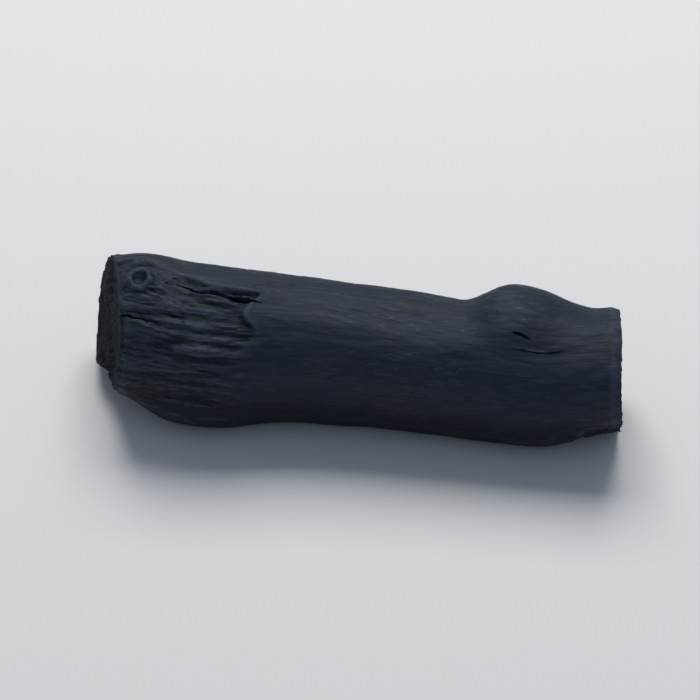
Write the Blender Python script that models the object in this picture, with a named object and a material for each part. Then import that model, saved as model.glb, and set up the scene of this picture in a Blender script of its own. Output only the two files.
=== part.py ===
"""A lump of hardwood charcoal: one charred length of branch that lies on its side.

The branch grew and burnt as one piece, so it is one closed solid. It starts as a ball
whose rings become the sections of the branch, from the middle of one end face to the
middle of the other. Its surface is a sum of short formulas, one for each thing that the
burnt wood shows. Thin blades then cut the drying cracks and the pith.

Everything is worked out in millimetres and turned to metres at the end. X runs along
the branch and +Z is up. An angle round the branch is in degrees: 0 is the top, 90 the
front (-Y), 180 the underside and -90 the back.
"""

import math

import bmesh
import bpy
from mathutils import Vector, noise

MM = 0.001
NAME = "charcoal_lump"

# Girth: the diameter of the branch at places along it.
SECTIONS = (
    (-80, 43.5),
    (-62, 45.5),
    (-46, 46.2),
    (-33, 45.0),
    (-17, 42.4),
    (0, 41.0),
    (30, 39.6),
    (58, 39.2),
    (80, 41.8),
)
MEAN_RADIUS = 20.5
OVAL = 0.030
LOBES = 0.018
TWIST = 0.35
FLAT_DEPTH = 1.1

# Crook: how far the pith lies behind the middle line, at places along the branch.
CROOK = (
    (-80, 1.5),
    (-62, 0.0),
    (-40, -3.6),
    (-18, 2.4),
    (0, 2.6),
    (30, 2.0),
    (50, 1.2),
    (66, 3.2),
    (80, 4.2),
)

# Ends: where each face crosses the pith, how far its rim leans, and towards which angle.
LEFT_END = -71.0
LEFT_LEAN = 8.0
LEFT_LEAN_ANGLE = 60.0
RIGHT_END = 74.0
RIGHT_LEAN = 2.0
RIGHT_LEAN_ANGLE = 120.0
END_HOLLOW = 1.5
END_BROKEN = 1.6
END_BROKEN_SIZE = 0.43
RIM_WEAR = 0.7
RIM_REACH = 2.6
RING_STEP = 0.45

# The swelling round a side branch that was burnt off, at the top right.
COLLAR_X = 43.0
COLLAR_ANGLE = -33.0
COLLAR_HEIGHT = 6.4
COLLAR_LEFT = 15.5
COLLAR_RIGHT = 23.0
COLLAR_ACROSS = 25.0

# The eye of a twig at the top left: a ring with a sunken middle on a low mound.
EYE_X = -59.6
EYE_ANGLE = 8.0
EYE_RING = 2.9
EYE_RING_WIDTH = 1.6
EYE_RING_HEIGHT = 1.1
EYE_PIT = 1.5
EYE_PIT_LONG = 1.5
EYE_PIT_DEPTH = 1.0
EYE_MOUND = 12.0
EYE_MOUND_ACROSS = 27.0
EYE_MOUND_HEIGHT = 2.2
EYE_CALM = 9.5

# The patch on the left third where a flake of the smooth skin has come away. Its edge is
# sharp at the top. Down the front it draws back to the left and fades.
PATCH_EDGE = -27.0
PATCH_SLANT = 4.0
PATCH_RAGGED = 5.5
PATCH_SHARP = 0.8
PATCH_FADED = 12.0
PATCH_FADE_START = 27.0
PATCH_FADE_END = 90.0
PATCH_TOP = 5.0
PATCH_BOTTOM = 112.0
PATCH_DEPTH = 0.65
FURROW_DEPTH = 0.85
FURROW_LENGTH = 21.0
FURROW_WIDTH = 5.2
FURROW_SHARPNESS = 3.2

# The left end is furrowed all round, more and more towards its rim.
ROUGH_START = -44.0
ROUGH_FULL = -64.0
ROUGH_SHARE = 0.55

# The ledge across the patch: a lip of harder wood, sharp on its lower side.
LEDGE_X = -39.5
LEDGE_ANGLE = 55.0
LEDGE_LENGTH = 10.0
LEDGE_ACROSS = 6.0
LEDGE_SHARP = 1.2
LEDGE_HEIGHT = 1.6

# The scoop under that ledge, and a flat where a chip left the back.
SCOOP_X = -45.0
SCOOP_ANGLE = 88.0
SCOOP_LENGTH = 20.0
SCOOP_ACROSS = 12.0
SCOOP_DEPTH = 2.4
SPALL_X = 12.0
SPALL_ANGLE = -112.0
SPALL_LENGTH = 27.0
SPALL_ACROSS = 11.0
SPALL_DEPTH = 1.9

# The splintered corner at the lower right, and the smoother bevel at the lower left.
CORNER_ANGLE = 136.0
CORNER_SPREAD = 60.0
CORNER_START = 54.0
CORNER_END = 80.0
CORNER_DEPTH = 6.6
CORNER_ROUGH = 1.3
CORNER_GRIT = 6.0
BEVEL_ANGLE = 158.0
BEVEL_SPREAD = 75.0
BEVEL_START = -50.0
BEVEL_DEPTH = 12.0

# The wood's own unevenness: broad swells, and shallow grain along the whole branch.
SWELL = 0.9
SWELL_SIZE = 26.0
GRAIN = 0.6
GRAIN_LENGTH = 38.0
GRAIN_WIDTH = 7.5

# Cracks: how far a blade stands out of the wood, how open a crack is at its tips, and how
# far its line strays, in degrees round the branch or round the pith.
BLADE_LIFT = 3.0
TIP_SHARE = 0.04
SIDE_STATION = 5.0
SIDE_STRAY = 2.9
SIDE_STRAY_LENGTH = 5.0
FACE_STATIONS = 5
RAY_WIDEST = 0.35
SHAKE_WIDEST = 0.5
FACE_STRAY = 9.0
FACE_STRAY_LENGTH = 4.0

# Cracks on the side: start and end along X, angle at each, widest gap, depth, and where
# along its length a crack is widest, from 0 at its start to 1 at its end.
SIDE_CRACKS = {
    "skin_slit": (-49, -25.5, 1, 13, 2.0, 3.6, 0.80),
    "eye_check": (-67, -55, 36, 39, 0.9, 2.2, 0.35),
    "collar_pit": (43, 49, 17, 19, 1.3, 2.0, 0.40),
    "front_line": (45, 58, 30, 29, 0.3, 0.8, 0.45),
    "back_check": (-38, 34, -133, -126, 1.5, 5.5, 0.45),
    "back_split": (36, 84, -78, -71, 2.0, 7.5, 0.95),
    "left_split": (-86, -52, -158, -152, 1.6, 6.0, 0.10),
    "top_check": (-14, 12, -48, -45, 0.6, 1.6, 0.50),
}

# Cracks in the end faces: angle, distance from the pith at each end, gap and depth.
LEFT_RAYS = (
    (22, 1.0, 15.0, 0.8, 3.5),
    (71, 5.0, 12.5, 0.5, 2.0),
    (118, 0.5, 18.5, 1.3, 5.5),
    (-141, 3.0, 11.0, 0.6, 2.5),
    (-87, 0.5, 14.0, 0.9, 4.0),
    (-49, 6.0, 17.0, 0.5, 2.2),
)
RIGHT_RAYS = (
    (9, 0.5, 13.0, 0.8, 3.5),
    (47, 5.5, 15.5, 0.5, 2.2),
    (121, 1.0, 10.0, 0.6, 2.5),
    (-172, 4.0, 15.5, 0.7, 3.0),
    (-74, 0.5, 19.5, 1.4, 5.5),
    (-29, 7.0, 16.0, 0.5, 2.0),
)

# Shakes, the cracks that follow a growth ring: start and end angle, distance from the pith,
# gap and depth.
LEFT_SHAKES = ((128, 176, 11.5, 0.7, 2.4), (-74, -40, 8.0, 0.5, 2.0))
RIGHT_SHAKES = ((52, 104, 12.5, 0.7, 2.4), (-165, -128, 8.5, 0.5, 2.0))

# The hole that the soft pith left in each end face. It narrows inwards.
PITH_RADIUS = 1.1
PITH_NARROW = 0.6
PITH_DEPTH = 6.0
PITH_SIDES = 8

# Mesh: columns round the branch, rows along it, and rings in each end face.
COLUMNS = 60
LEFT_ROWS = 31
RIGHT_ROWS = 34
END_RINGS = (0.12, 0.26, 0.4, 0.54, 0.68, 0.81, 0.93)
RIM_RING = 0.985
RIM_ROW = 0.004
CROWDING = 14.0
CROWDING_ANGLE = 30.0
SHARP_ANGLE = 38.0


def soft_step(low, high, value):
    """0 below low, 1 above high, and a soft slope between them."""
    share = min(max((value - low) / (high - low), 0.0), 1.0)
    return share * share * (3 - 2 * share)


def hill(distance):
    """A round hill: 1 at distance 0, and 0 from distance 1 on."""
    share = min(abs(distance), 1.0)
    return (1 - share * share) ** 2


def turned(angle, centre):
    """Degrees from centre to angle, from -180 to 180."""
    return (angle - centre + 180) % 360 - 180


def across(angle, centre):
    """Millimetres round the branch from centre to angle."""
    return math.radians(turned(angle, centre)) * MEAN_RADIUS


def grain(x, angle, length, width, seed):
    """Noise from -1 to 1 that runs along the branch and closes on itself round it."""
    round_branch = math.radians(angle)
    reach = MEAN_RADIUS / width
    return noise.noise(
        Vector(
            (
                x / length + seed,
                math.cos(round_branch) * reach,
                math.sin(round_branch) * reach + seed,
            )
        )
    )


def straight(table, x):
    """A table of (x, value), joined by straight lines."""
    for (x0, value0), (x1, value1) in zip(table, table[1:]):
        if x <= x1:
            return value0 + (value1 - value0) * max(x - x0, 0) / (x1 - x0)
    return table[-1][1]


def along_branch(table, x):
    """The same line, averaged over 16 mm so that it is smooth."""
    nearby = (-8, -4, 0, 4, 8)
    return sum(straight(table, x + step) for step in nearby) / len(nearby)


def girth(x):
    """Mean radius of the branch at x."""
    return along_branch(SECTIONS, x) / 2


def oval(x, angle):
    """How far the section is from round, as a share of its radius. It turns with the grain."""
    along = TWIST * x
    two = math.cos(math.radians(2 * (angle - 25) - along))
    three = math.cos(math.radians(3 * (angle - 70) + along))
    return OVAL * two + LOBES * three


def collar(x, angle):
    """The swelling of a side branch, steeper on its left."""
    along = x - COLLAR_X
    reach = COLLAR_LEFT if along < 0 else COLLAR_RIGHT
    return COLLAR_HEIGHT * hill(
        math.hypot(along / reach, across(angle, COLLAR_ANGLE) / COLLAR_ACROSS)
    )


def eye(x, angle):
    """The eye of a twig: mound, ring and pit."""
    along, round_it = x - EYE_X, across(angle, EYE_ANGLE)
    away = math.hypot(along, round_it)
    ring = EYE_RING_HEIGHT * hill((away - EYE_RING) / EYE_RING_WIDTH)
    pit = EYE_PIT_DEPTH * hill(math.hypot(along / EYE_PIT_LONG, round_it) / EYE_PIT)
    mound = EYE_MOUND_HEIGHT * hill(math.hypot(along / EYE_MOUND, round_it / EYE_MOUND_ACROSS))
    return mound + ring - pit


def bareness(x, angle):
    """1 where the flake of skin is gone, and 0 where the skin is whole."""
    down = soft_step(PATCH_FADE_START, PATCH_FADE_END, angle)
    ragged = PATCH_RAGGED * grain(x, angle, 200, 6.0, seed=3.1)
    edge_x = PATCH_EDGE - PATCH_SLANT * down + ragged
    fade = PATCH_SHARP + PATCH_FADED * down
    edge = soft_step(edge_x + fade, edge_x - fade, x)
    top = soft_step(-2.0, 2.0, turned(angle, PATCH_TOP + 0.5 * (x - PATCH_EDGE)))
    bottom = soft_step(12.0, -12.0, turned(angle, PATCH_BOTTOM))
    return edge * top * bottom


def furrows(x, angle):
    """Coarse furrows of the bared wood and of the rough left end, up to 1 deep. They die
    out round the eye."""
    ridge = abs(grain(x, angle, FURROW_LENGTH, FURROW_WIDTH, seed=7.7))
    calm = hill(math.hypot(x - EYE_X, across(angle, EYE_ANGLE)) / EYE_CALM)
    return (1 - min(FURROW_SHARPNESS * ridge, 1.0)) * (1 - calm)


def ledge(x, angle):
    """The lip across the patch: a slow rise, then a sharp fall."""
    down = across(angle, LEDGE_ANGLE)
    rise = soft_step(-LEDGE_ACROSS, 0, down)
    fall = soft_step(LEDGE_SHARP, 0, down)
    return LEDGE_HEIGHT * hill((x - LEDGE_X) / LEDGE_LENGTH) * rise * fall


def dent(x, angle, centre, centre_angle, length, width, depth):
    """A shallow oval hollow."""
    return -depth * hill(
        math.hypot((x - centre) / length, across(angle, centre_angle) / width)
    )


def corner(x, angle):
    """The splintered corner: a bevel towards the right end, broken into small facets."""
    here = soft_step(CORNER_START, CORNER_END, x) * hill(
        turned(angle, CORNER_ANGLE) / CORNER_SPREAD
    )
    facets = noise.cell_vector(
        Vector((x / CORNER_GRIT, math.radians(angle) * MEAN_RADIUS / CORNER_GRIT, 2.0))
    ).x
    rough = CORNER_ROUGH * (grain(x, angle, 8, 5, seed=4.4) + 0.5 * (facets - 0.5))
    return -CORNER_DEPTH * here + rough * soft_step(0, 0.25, here)


def bevel(x, angle):
    """The worn underside of the left end."""
    here = soft_step(BEVEL_START, LEFT_END - LEFT_LEAN, x)
    return -BEVEL_DEPTH * here * hill(turned(angle, BEVEL_ANGLE) / BEVEL_SPREAD)


def radius_at(x, angle):
    """Distance from the pith to the side of the branch."""
    bare = bareness(x, angle)
    rough_end = ROUGH_SHARE * soft_step(ROUGH_START, ROUGH_FULL, x)
    swell = SWELL * grain(x, angle, SWELL_SIZE, SWELL_SIZE, seed=1.3)
    shallow = GRAIN * grain(x, angle, GRAIN_LENGTH, GRAIN_WIDTH, seed=5.2)
    return (
        girth(x) * (1 + oval(x, angle))
        + swell
        + shallow
        + collar(x, angle)
        + eye(x, angle)
        - PATCH_DEPTH * bare
        - FURROW_DEPTH * furrows(x, angle) * max(bare, rough_end)
        + dent(x, angle, SCOOP_X, SCOOP_ANGLE, SCOOP_LENGTH, SCOOP_ACROSS, SCOOP_DEPTH)
        + dent(x, angle, SPALL_X, SPALL_ANGLE, SPALL_LENGTH, SPALL_ACROSS, SPALL_DEPTH)
        + corner(x, angle)
        + bevel(x, angle)
        + ledge(x, angle)
    )


def pith_at(x):
    """Y and Z of the pith. The branch is a little crooked, and its underside lies level."""
    return along_branch(CROOK, x), girth(x) - FLAT_DEPTH


def growth_ring(reach):
    """Growth rings stand out of an end face as low steps, one on every second ring."""
    inner_rings = [ring for ring in END_RINGS if reach > ring + 0.001]
    return RING_STEP * (len(inner_rings) % 2) * soft_step(0.97, 0.9, reach)


def end_at(angle, reach, right):
    """X of an end face, at a share of the way from the pith to the rim."""
    centre, lean, lean_angle = (
        (RIGHT_END, RIGHT_LEAN, RIGHT_LEAN_ANGLE)
        if right
        else (LEFT_END, LEFT_LEAN, LEFT_LEAN_ANGLE)
    )
    slope = lean * math.cos(math.radians(angle - lean_angle)) * reach
    inward = -1 if right else 1
    hollow = END_HOLLOW * inward * (1 - reach * reach)
    turn = math.radians(angle)
    spot = Vector((reach * math.cos(turn), reach * math.sin(turn), 4.0 * inward))
    broken = END_BROKEN * noise.noise(spot / END_BROKEN_SIZE) * soft_step(1.0, 0.75, reach)
    return centre + slope + hollow + broken + growth_ring(reach) * inward


def surface_point(reach, along, angle):
    """A point of the branch. reach is 0 at the pith and 1 at the rim, and along runs from
    0 at the left end face to 1 at the right one."""
    left = end_at(angle, reach, right=False)
    right = end_at(angle, reach, right=True)
    x = left + (right - left) * along
    to_end = min(x - left, right - x)
    wear = RIM_WEAR * (1 + 0.8 * grain(x, angle, 30, 6, seed=8.8))
    radius = reach * (radius_at(x, angle) - wear * (1 - soft_step(0, RIM_REACH, to_end)))
    y, z = pith_at(x)
    turn = math.radians(angle)
    return Vector((x, y - radius * math.sin(turn), z + radius * math.cos(turn)))


def rows_of_branch():
    """(reach, along) of every ring from the left pith to the right one. The rows are
    closer together on the left third, where the surface has more to show."""
    split = (PATCH_EDGE + 2 - LEFT_END) / (RIGHT_END - LEFT_END)
    left_side = [split * n / LEFT_ROWS for n in range(LEFT_ROWS)]
    right_side = [split + (1 - split) * n / RIGHT_ROWS for n in range(RIGHT_ROWS + 1)]
    sides = [(1.0, share) for share in left_side + right_side][1:-1]
    left_face = [(0.0, 0.0)] + [(ring, 0.0) for ring in END_RINGS]
    right_face = [(ring, 1.0) for ring, _ in reversed(left_face)]
    left_rim = [(RIM_RING, RIM_ROW)]
    right_rim = [(RIM_RING, 1 - RIM_ROW)]
    return left_face + left_rim + sides + right_rim + right_face


def make_branch():
    """The branch's mesh. A ball's rings, pole to pole, become the branch's rows."""
    rows = rows_of_branch()
    last = len(rows) - 1
    mesh = bmesh.new()
    bmesh.ops.create_uvsphere(mesh, u_segments=COLUMNS, v_segments=last, radius=1)
    for vertex in mesh.verts:
        ring = round(math.acos(max(-1, min(1, vertex.co.z))) / math.pi * last)
        reach, along = rows[last - ring]
        column = math.degrees(math.atan2(vertex.co.y, vertex.co.x))
        crowd = CROWDING * math.sin(math.radians(column - CROWDING_ANGLE))
        vertex.co = surface_point(reach, along, column - crowd)
        vertex.co.z = max(vertex.co.z, 0)
    return mesh


def make_blade(spine):
    """A thin closed wedge along a crack. Each station of the spine has its place on the
    surface, the way out of the wood, half its gap and its depth."""
    mesh = bmesh.new()
    sections = []
    for n, (place, outward, half_gap, depth) in enumerate(spine):
        before = spine[max(n - 1, 0)][0]
        after = spine[min(n + 1, len(spine) - 1)][0]
        sideways = (after - before).cross(outward).normalized()
        spread = half_gap * (depth + BLADE_LIFT) / depth
        corners = (
            place + outward * BLADE_LIFT + sideways * spread,
            place + outward * BLADE_LIFT - sideways * spread,
            place - outward * depth,
        )
        sections.append([mesh.verts.new(corner) for corner in corners])
    for one, other in zip(sections, sections[1:]):
        for a, b in ((0, 1), (1, 2), (2, 0)):
            mesh.faces.new((one[a], one[b], other[b], other[a]))
    mesh.faces.new(reversed(sections[0]))
    mesh.faces.new(sections[-1])
    bmesh.ops.recalc_face_normals(mesh, faces=mesh.faces)
    return mesh


def fullness(share, widest):
    """How open a crack is along its length: nothing at its ends, 1 where it is widest."""
    open_share = share / widest if share < widest else (1 - share) / (1 - widest)
    return TIP_SHARE + (1 - TIP_SHARE) * open_share


def side_blade(start, end, start_angle, end_angle, gap, depth, widest, seed):
    """A crack along the side of the branch, which wanders a little as it goes."""
    stations = max(5, round(abs(end - start) / SIDE_STATION))
    spine = []
    for n in range(stations + 1):
        share = n / stations
        x = start + (end - start) * share
        stray = SIDE_STRAY * noise.noise(Vector((x / SIDE_STRAY_LENGTH, seed, 0.5)))
        angle = start_angle + (end_angle - start_angle) * share + stray
        inside = min(max(x, LEFT_END), RIGHT_END)
        y, z = pith_at(inside)
        turn = math.radians(angle)
        outward = Vector((0, -math.sin(turn), math.cos(turn)))
        place = Vector((x, y, z)) + outward * radius_at(inside, angle)
        full = fullness(share, widest)
        spine.append((place, outward, gap / 2 * full, depth * full**0.5))
    return make_blade(spine)


def face_blade(start, end, gap, depth, widest, right):
    """A crack in an end face between two places, each an angle and a distance from the pith."""
    outward = Vector((1 if right else -1, 0, 0))
    spine = []
    for n in range(FACE_STATIONS + 1):
        share = n / FACE_STATIONS
        angle = start[0] + (end[0] - start[0]) * share
        from_pith = start[1] + (end[1] - start[1]) * share
        stray = noise.noise(Vector((from_pith / FACE_STRAY_LENGTH, angle / FACE_STRAY, start[0])))
        turn = math.radians(angle + FACE_STRAY * share * stray)
        x = end_at(angle, from_pith / MEAN_RADIUS, right)
        y, z = pith_at(x)
        place = Vector((x, y - from_pith * math.sin(turn), z + from_pith * math.cos(turn)))
        full = fullness(share, widest)
        spine.append((place, outward, gap / 2 * full, depth * full**0.5))
    return make_blade(spine)


def ray_blade(angle, inner, outer, gap, depth, right):
    """A crack that runs out from the pith towards the rim."""
    return face_blade((angle, inner), (angle, outer), gap, depth, RAY_WIDEST, right)


def shake_blade(start_angle, end_angle, from_pith, gap, depth, right):
    """A crack that follows a growth ring."""
    start, end = (start_angle, from_pith), (end_angle, from_pith)
    return face_blade(start, end, gap, depth, SHAKE_WIDEST, right)


def pith_cutter(right):
    """The round hole that the soft pith left in an end face."""
    mesh = bmesh.new()
    bmesh.ops.create_cone(
        mesh,
        cap_ends=True,
        segments=PITH_SIDES,
        radius1=PITH_RADIUS * PITH_NARROW,
        radius2=PITH_RADIUS,
        depth=2 * PITH_DEPTH,
    )
    outward = 1 if right else -1
    x = end_at(0, 0, right)
    y, z = pith_at(x)
    for vertex in mesh.verts:
        side, up, out = vertex.co
        vertex.co = Vector((x + outward * out, y + outward * side, z + up))
    return mesh


def add_object(name, mesh, collection, parent):
    """Turns a mesh in millimetres to an object in metres, and places it under parent."""
    bmesh.ops.scale(mesh, vec=Vector((MM, MM, MM)), verts=mesh.verts)
    data = bpy.data.meshes.new(name)
    mesh.to_mesh(data)
    mesh.free()
    made = bpy.data.objects.new(name, data)
    collection.objects.link(made)
    made.parent = parent
    return made


def add_collection(name):
    collection = bpy.data.collections.new(name)
    bpy.context.scene.collection.children.link(collection)
    return collection


def charred_wood():
    """Matt blue-black char."""
    material = bpy.data.materials.new("charred_wood")
    material.use_nodes = True
    shader = material.node_tree.nodes["Principled BSDF"]
    shader.inputs["Base Color"].default_value = (0.040, 0.044, 0.056, 1)
    shader.inputs["Roughness"].default_value = 0.62
    shader.inputs["Metallic"].default_value = 0.0
    return material


def make_cutters(collection, parent):
    """One blade for each crack, and one plug for each end's pith."""
    ends = (
        ("left", LEFT_RAYS, LEFT_SHAKES, False),
        ("right", RIGHT_RAYS, RIGHT_SHAKES, True),
    )
    made = {}
    for seed, (name, crack) in enumerate(SIDE_CRACKS.items()):
        made[f"cut_{name}"] = side_blade(*crack, seed)
    for side, rays, shakes, right in ends:
        for n, ray in enumerate(rays):
            made[f"cut_{side}_ray_{n + 1}"] = ray_blade(*ray, right)
        for n, shake in enumerate(shakes):
            made[f"cut_{side}_shake_{n + 1}"] = shake_blade(*shake, right)
        made[f"cut_{side}_pith"] = pith_cutter(right)
    for name, mesh in made.items():
        cutter = add_object(name, mesh, collection, parent)
        cutter.hide_render = True
        cutter.display_type = "WIRE"


def centre_over_origin(branch, stand):
    """Moves the stand so that the middle of the branch's box is over the origin."""
    for side in (0, 1):
        places = [vertex.co[side] for vertex in branch.data.vertices]
        stand.location[side] = -(min(places) + max(places)) / 2


def main():
    for old in list(bpy.data.objects):
        bpy.data.objects.remove(old)
    parts = add_collection(NAME)
    cutters = add_collection("cutters")
    stand = bpy.data.objects.new("stand", None)
    parts.objects.link(stand)
    branch = add_object(NAME, make_branch(), parts, stand)
    branch.data.materials.append(charred_wood())
    branch.data.shade_smooth()
    branch.data.set_sharp_from_angle(angle=math.radians(SHARP_ANGLE))
    make_cutters(cutters, stand)
    cut = branch.modifiers.new("cracks", "BOOLEAN")
    cut.operation = "DIFFERENCE"
    cut.solver = "EXACT"
    cut.operand_type = "COLLECTION"
    cut.collection = cutters
    centre_over_origin(branch, stand)


main()
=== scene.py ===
# %% [markdown]
# # A lump of hardwood charcoal
#
# The object is one charred length of branch that lies on its side. A branch that burns
# without air keeps its whole shape: the swelling round a lost side branch, the eye of a
# twig, the furrows of bared wood and the growth rings of the broken ends are all still
# there, only shrunken, cracked and black. So the lump is made the way the branch grew:
# a row of round sections along a crooked pith, with one short formula for each thing
# that the surface shows.

# %% Load the frame
import math

import bmesh
import bpy
import numpy as np
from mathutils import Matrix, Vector, noise


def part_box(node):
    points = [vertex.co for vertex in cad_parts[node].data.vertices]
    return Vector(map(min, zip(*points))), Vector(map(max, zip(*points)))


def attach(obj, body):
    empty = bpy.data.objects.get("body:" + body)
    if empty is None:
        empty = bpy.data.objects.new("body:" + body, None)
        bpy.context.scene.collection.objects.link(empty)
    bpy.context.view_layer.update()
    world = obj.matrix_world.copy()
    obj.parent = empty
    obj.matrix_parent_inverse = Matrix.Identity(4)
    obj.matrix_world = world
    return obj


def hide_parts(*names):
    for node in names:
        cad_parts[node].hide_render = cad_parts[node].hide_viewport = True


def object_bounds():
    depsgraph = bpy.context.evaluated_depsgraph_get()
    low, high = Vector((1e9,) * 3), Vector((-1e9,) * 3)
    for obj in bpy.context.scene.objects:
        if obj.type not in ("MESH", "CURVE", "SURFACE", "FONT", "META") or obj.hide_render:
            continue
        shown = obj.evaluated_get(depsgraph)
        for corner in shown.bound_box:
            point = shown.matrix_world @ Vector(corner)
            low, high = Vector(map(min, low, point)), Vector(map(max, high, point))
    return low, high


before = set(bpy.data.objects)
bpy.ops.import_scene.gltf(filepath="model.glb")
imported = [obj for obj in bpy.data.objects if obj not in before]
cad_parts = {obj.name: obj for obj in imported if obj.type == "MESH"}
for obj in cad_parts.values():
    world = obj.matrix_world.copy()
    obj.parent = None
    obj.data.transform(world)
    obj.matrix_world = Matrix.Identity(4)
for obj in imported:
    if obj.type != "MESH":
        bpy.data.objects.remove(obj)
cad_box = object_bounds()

MM = 0.001
LUMP = "charcoal_lump"
print("nodes:", sorted(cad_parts))
print("box:", [tuple(round(v, 4) for v in corner) for corner in cad_box])

# %% [markdown]
# ## Small shapes for formulas
#
# Every dent and swelling below is a sum of two small curves. A soft step goes from 0 to 1
# without a corner, and a hill is a round bump that ends level with its surroundings. They
# could be drawn as sculpted strokes, but a formula gives the same lump on every run and
# at every fineness.

# %% Soft step, hill and grain
MEAN_RADIUS = 20.5


def soft_step(low, high, value):
    """0 below low, 1 above high, and a soft slope between them."""
    share = min(max((value - low) / (high - low), 0.0), 1.0)
    return share * share * (3 - 2 * share)


def hill(distance):
    """A round hill: 1 at distance 0, and 0 from distance 1 on."""
    share = min(abs(distance), 1.0)
    return (1 - share * share) ** 2


def turned(angle, centre):
    """Degrees from centre to angle, from -180 to 180."""
    return (angle - centre + 180) % 360 - 180


def across(angle, centre):
    """Millimetres round the branch from centre to angle."""
    return math.radians(turned(angle, centre)) * MEAN_RADIUS


def grain(x, angle, length, width, seed):
    """Noise from -1 to 1 that runs along the branch and closes on itself round it."""
    turn = math.radians(angle)
    reach = MEAN_RADIUS / width
    along = x / length + seed
    return noise.noise(Vector((along, math.cos(turn) * reach, math.sin(turn) * reach + seed)))


print("soft step at half way:", soft_step(0, 1, 0.5))

# %% [markdown]
# ## The branch: girth, crook and section
#
# X runs along the branch, in millimetres, and an angle goes round it: 0 is the top, 90 the
# front, 180 the underside and -90 the back. The branch is thickest near its left end, and
# slightly crooked, because it once grew round something.

# %% Girth and crook
SECTIONS = (
    (-80, 43.5),
    (-62, 45.5),
    (-46, 46.2),
    (-33, 45.0),
    (-17, 42.4),
    (0, 41.0),
    (30, 39.6),
    (58, 39.2),
    (80, 41.8),
)
CROOK = (
    (-80, 1.5),
    (-62, 0.0),
    (-40, -3.6),
    (-18, 2.4),
    (0, 2.6),
    (30, 2.0),
    (50, 1.2),
    (66, 3.2),
    (80, 4.2),
)
FLAT_DEPTH = 1.1


def straight(table, x):
    """A table of (x, value), joined by straight lines."""
    for (x0, value0), (x1, value1) in zip(table, table[1:]):
        if x <= x1:
            return value0 + (value1 - value0) * max(x - x0, 0) / (x1 - x0)
    return table[-1][1]


def along_branch(table, x):
    """The same line, averaged over 16 mm so that it is smooth."""
    nearby = (-8, -4, 0, 4, 8)
    return sum(straight(table, x + step) for step in nearby) / len(nearby)


def girth(x):
    """Mean radius of the branch at x."""
    return along_branch(SECTIONS, x) / 2


def pith_at(x):
    """Y and Z of the pith. The underside of the branch lies level."""
    return along_branch(CROOK, x), girth(x) - FLAT_DEPTH


print("girth at the middle:", round(2 * girth(0), 1), "mm")

# %% [markdown]
# The section is a little oval and a little three-cornered, and both turn with the grain.

# %% Oval section
OVAL = 0.030
OVAL_ANGLE = 25
LOBES = 0.018
LOBES_ANGLE = 70
TWIST = 0.35


def oval(x, angle):
    """How far the section is from round, as a share of its radius."""
    along = TWIST * x
    two = math.cos(math.radians(2 * (angle - OVAL_ANGLE) - along))
    three = math.cos(math.radians(3 * (angle - LOBES_ANGLE) + along))
    return OVAL * two + LOBES * three


print("the front of the middle is", round(100 * oval(0, 90), 1), "% out of round")

# %% [markdown]
# ## What grew on the branch
#
# Where a side branch was burnt off, its collar is left: a swelling that is steeper on its
# left. It was part of the living branch, so it is a swelling of the surface and not a piece
# stuck on.

# %% Collar
COLLAR_X = 43.0
COLLAR_ANGLE = -33.0
COLLAR_HEIGHT = 6.4
COLLAR_LEFT = 15.5
COLLAR_RIGHT = 23.0
COLLAR_ACROSS = 25.0


def collar(x, angle):
    """The swelling of a side branch, steeper on its left."""
    along = x - COLLAR_X
    reach = COLLAR_LEFT if along < 0 else COLLAR_RIGHT
    round_it = across(angle, COLLAR_ANGLE)
    return COLLAR_HEIGHT * hill(math.hypot(along / reach, round_it / COLLAR_ACROSS))


print("collar stands", round(collar(COLLAR_X, COLLAR_ANGLE), 1), "mm proud")

# %% [markdown]
# A twig leaves an eye, which is a raised ring of bark with a sunken middle, on a low mound.

# %% Eye of a twig
EYE_X = -59.6
EYE_ANGLE = 8.0
EYE_RING = 2.9
EYE_RING_WIDTH = 1.6
EYE_RING_HEIGHT = 1.1
EYE_PIT = 1.5
EYE_PIT_LONG = 1.5
EYE_PIT_DEPTH = 1.0
EYE_MOUND = 12.0
EYE_MOUND_ACROSS = 27.0
EYE_MOUND_HEIGHT = 2.2
EYE_CALM = 9.5


def eye(x, angle):
    """The eye of a twig: mound, ring and pit."""
    along, round_it = x - EYE_X, across(angle, EYE_ANGLE)
    away = math.hypot(along, round_it)
    ring = EYE_RING_HEIGHT * hill((away - EYE_RING) / EYE_RING_WIDTH)
    pit = EYE_PIT_DEPTH * hill(math.hypot(along / EYE_PIT_LONG, round_it) / EYE_PIT)
    mound = EYE_MOUND_HEIGHT * hill(math.hypot(along / EYE_MOUND, round_it / EYE_MOUND_ACROSS))
    return mound + ring - pit


print("the ring of the eye stands", round(eye(EYE_X + EYE_RING, EYE_ANGLE), 1), "mm proud")

# %% [markdown]
# ## What the fire and rough handling did
#
# On the left third a flake of the smooth skin came away and bared the furrowed wood. Its
# edge is sharp at the top and fades out down the front. A ledge of harder wood crosses that
# patch, with a scoop under it. A chip left a flat on the back, the lower right corner is
# splintered, and the lower left one is worn round. The eye sees these before any fine
# detail, so they are in the solid too.

# %% The bared patch
PATCH_EDGE = -27.0
PATCH_SLANT = 4.0
PATCH_RAGGED = 5.5
PATCH_RAGGED_LENGTH = 200
PATCH_RAGGED_WIDTH = 6.0
PATCH_SHARP = 0.8
PATCH_FADED = 12.0
PATCH_FADE_START = 27.0
PATCH_FADE_END = 90.0
PATCH_TOP = 5.0
PATCH_TOP_SLANT = 0.5
PATCH_TOP_BLUR = 2.0
PATCH_BOTTOM = 112.0
PATCH_BOTTOM_BLUR = 12.0
PATCH_DEPTH = 0.65


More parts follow.
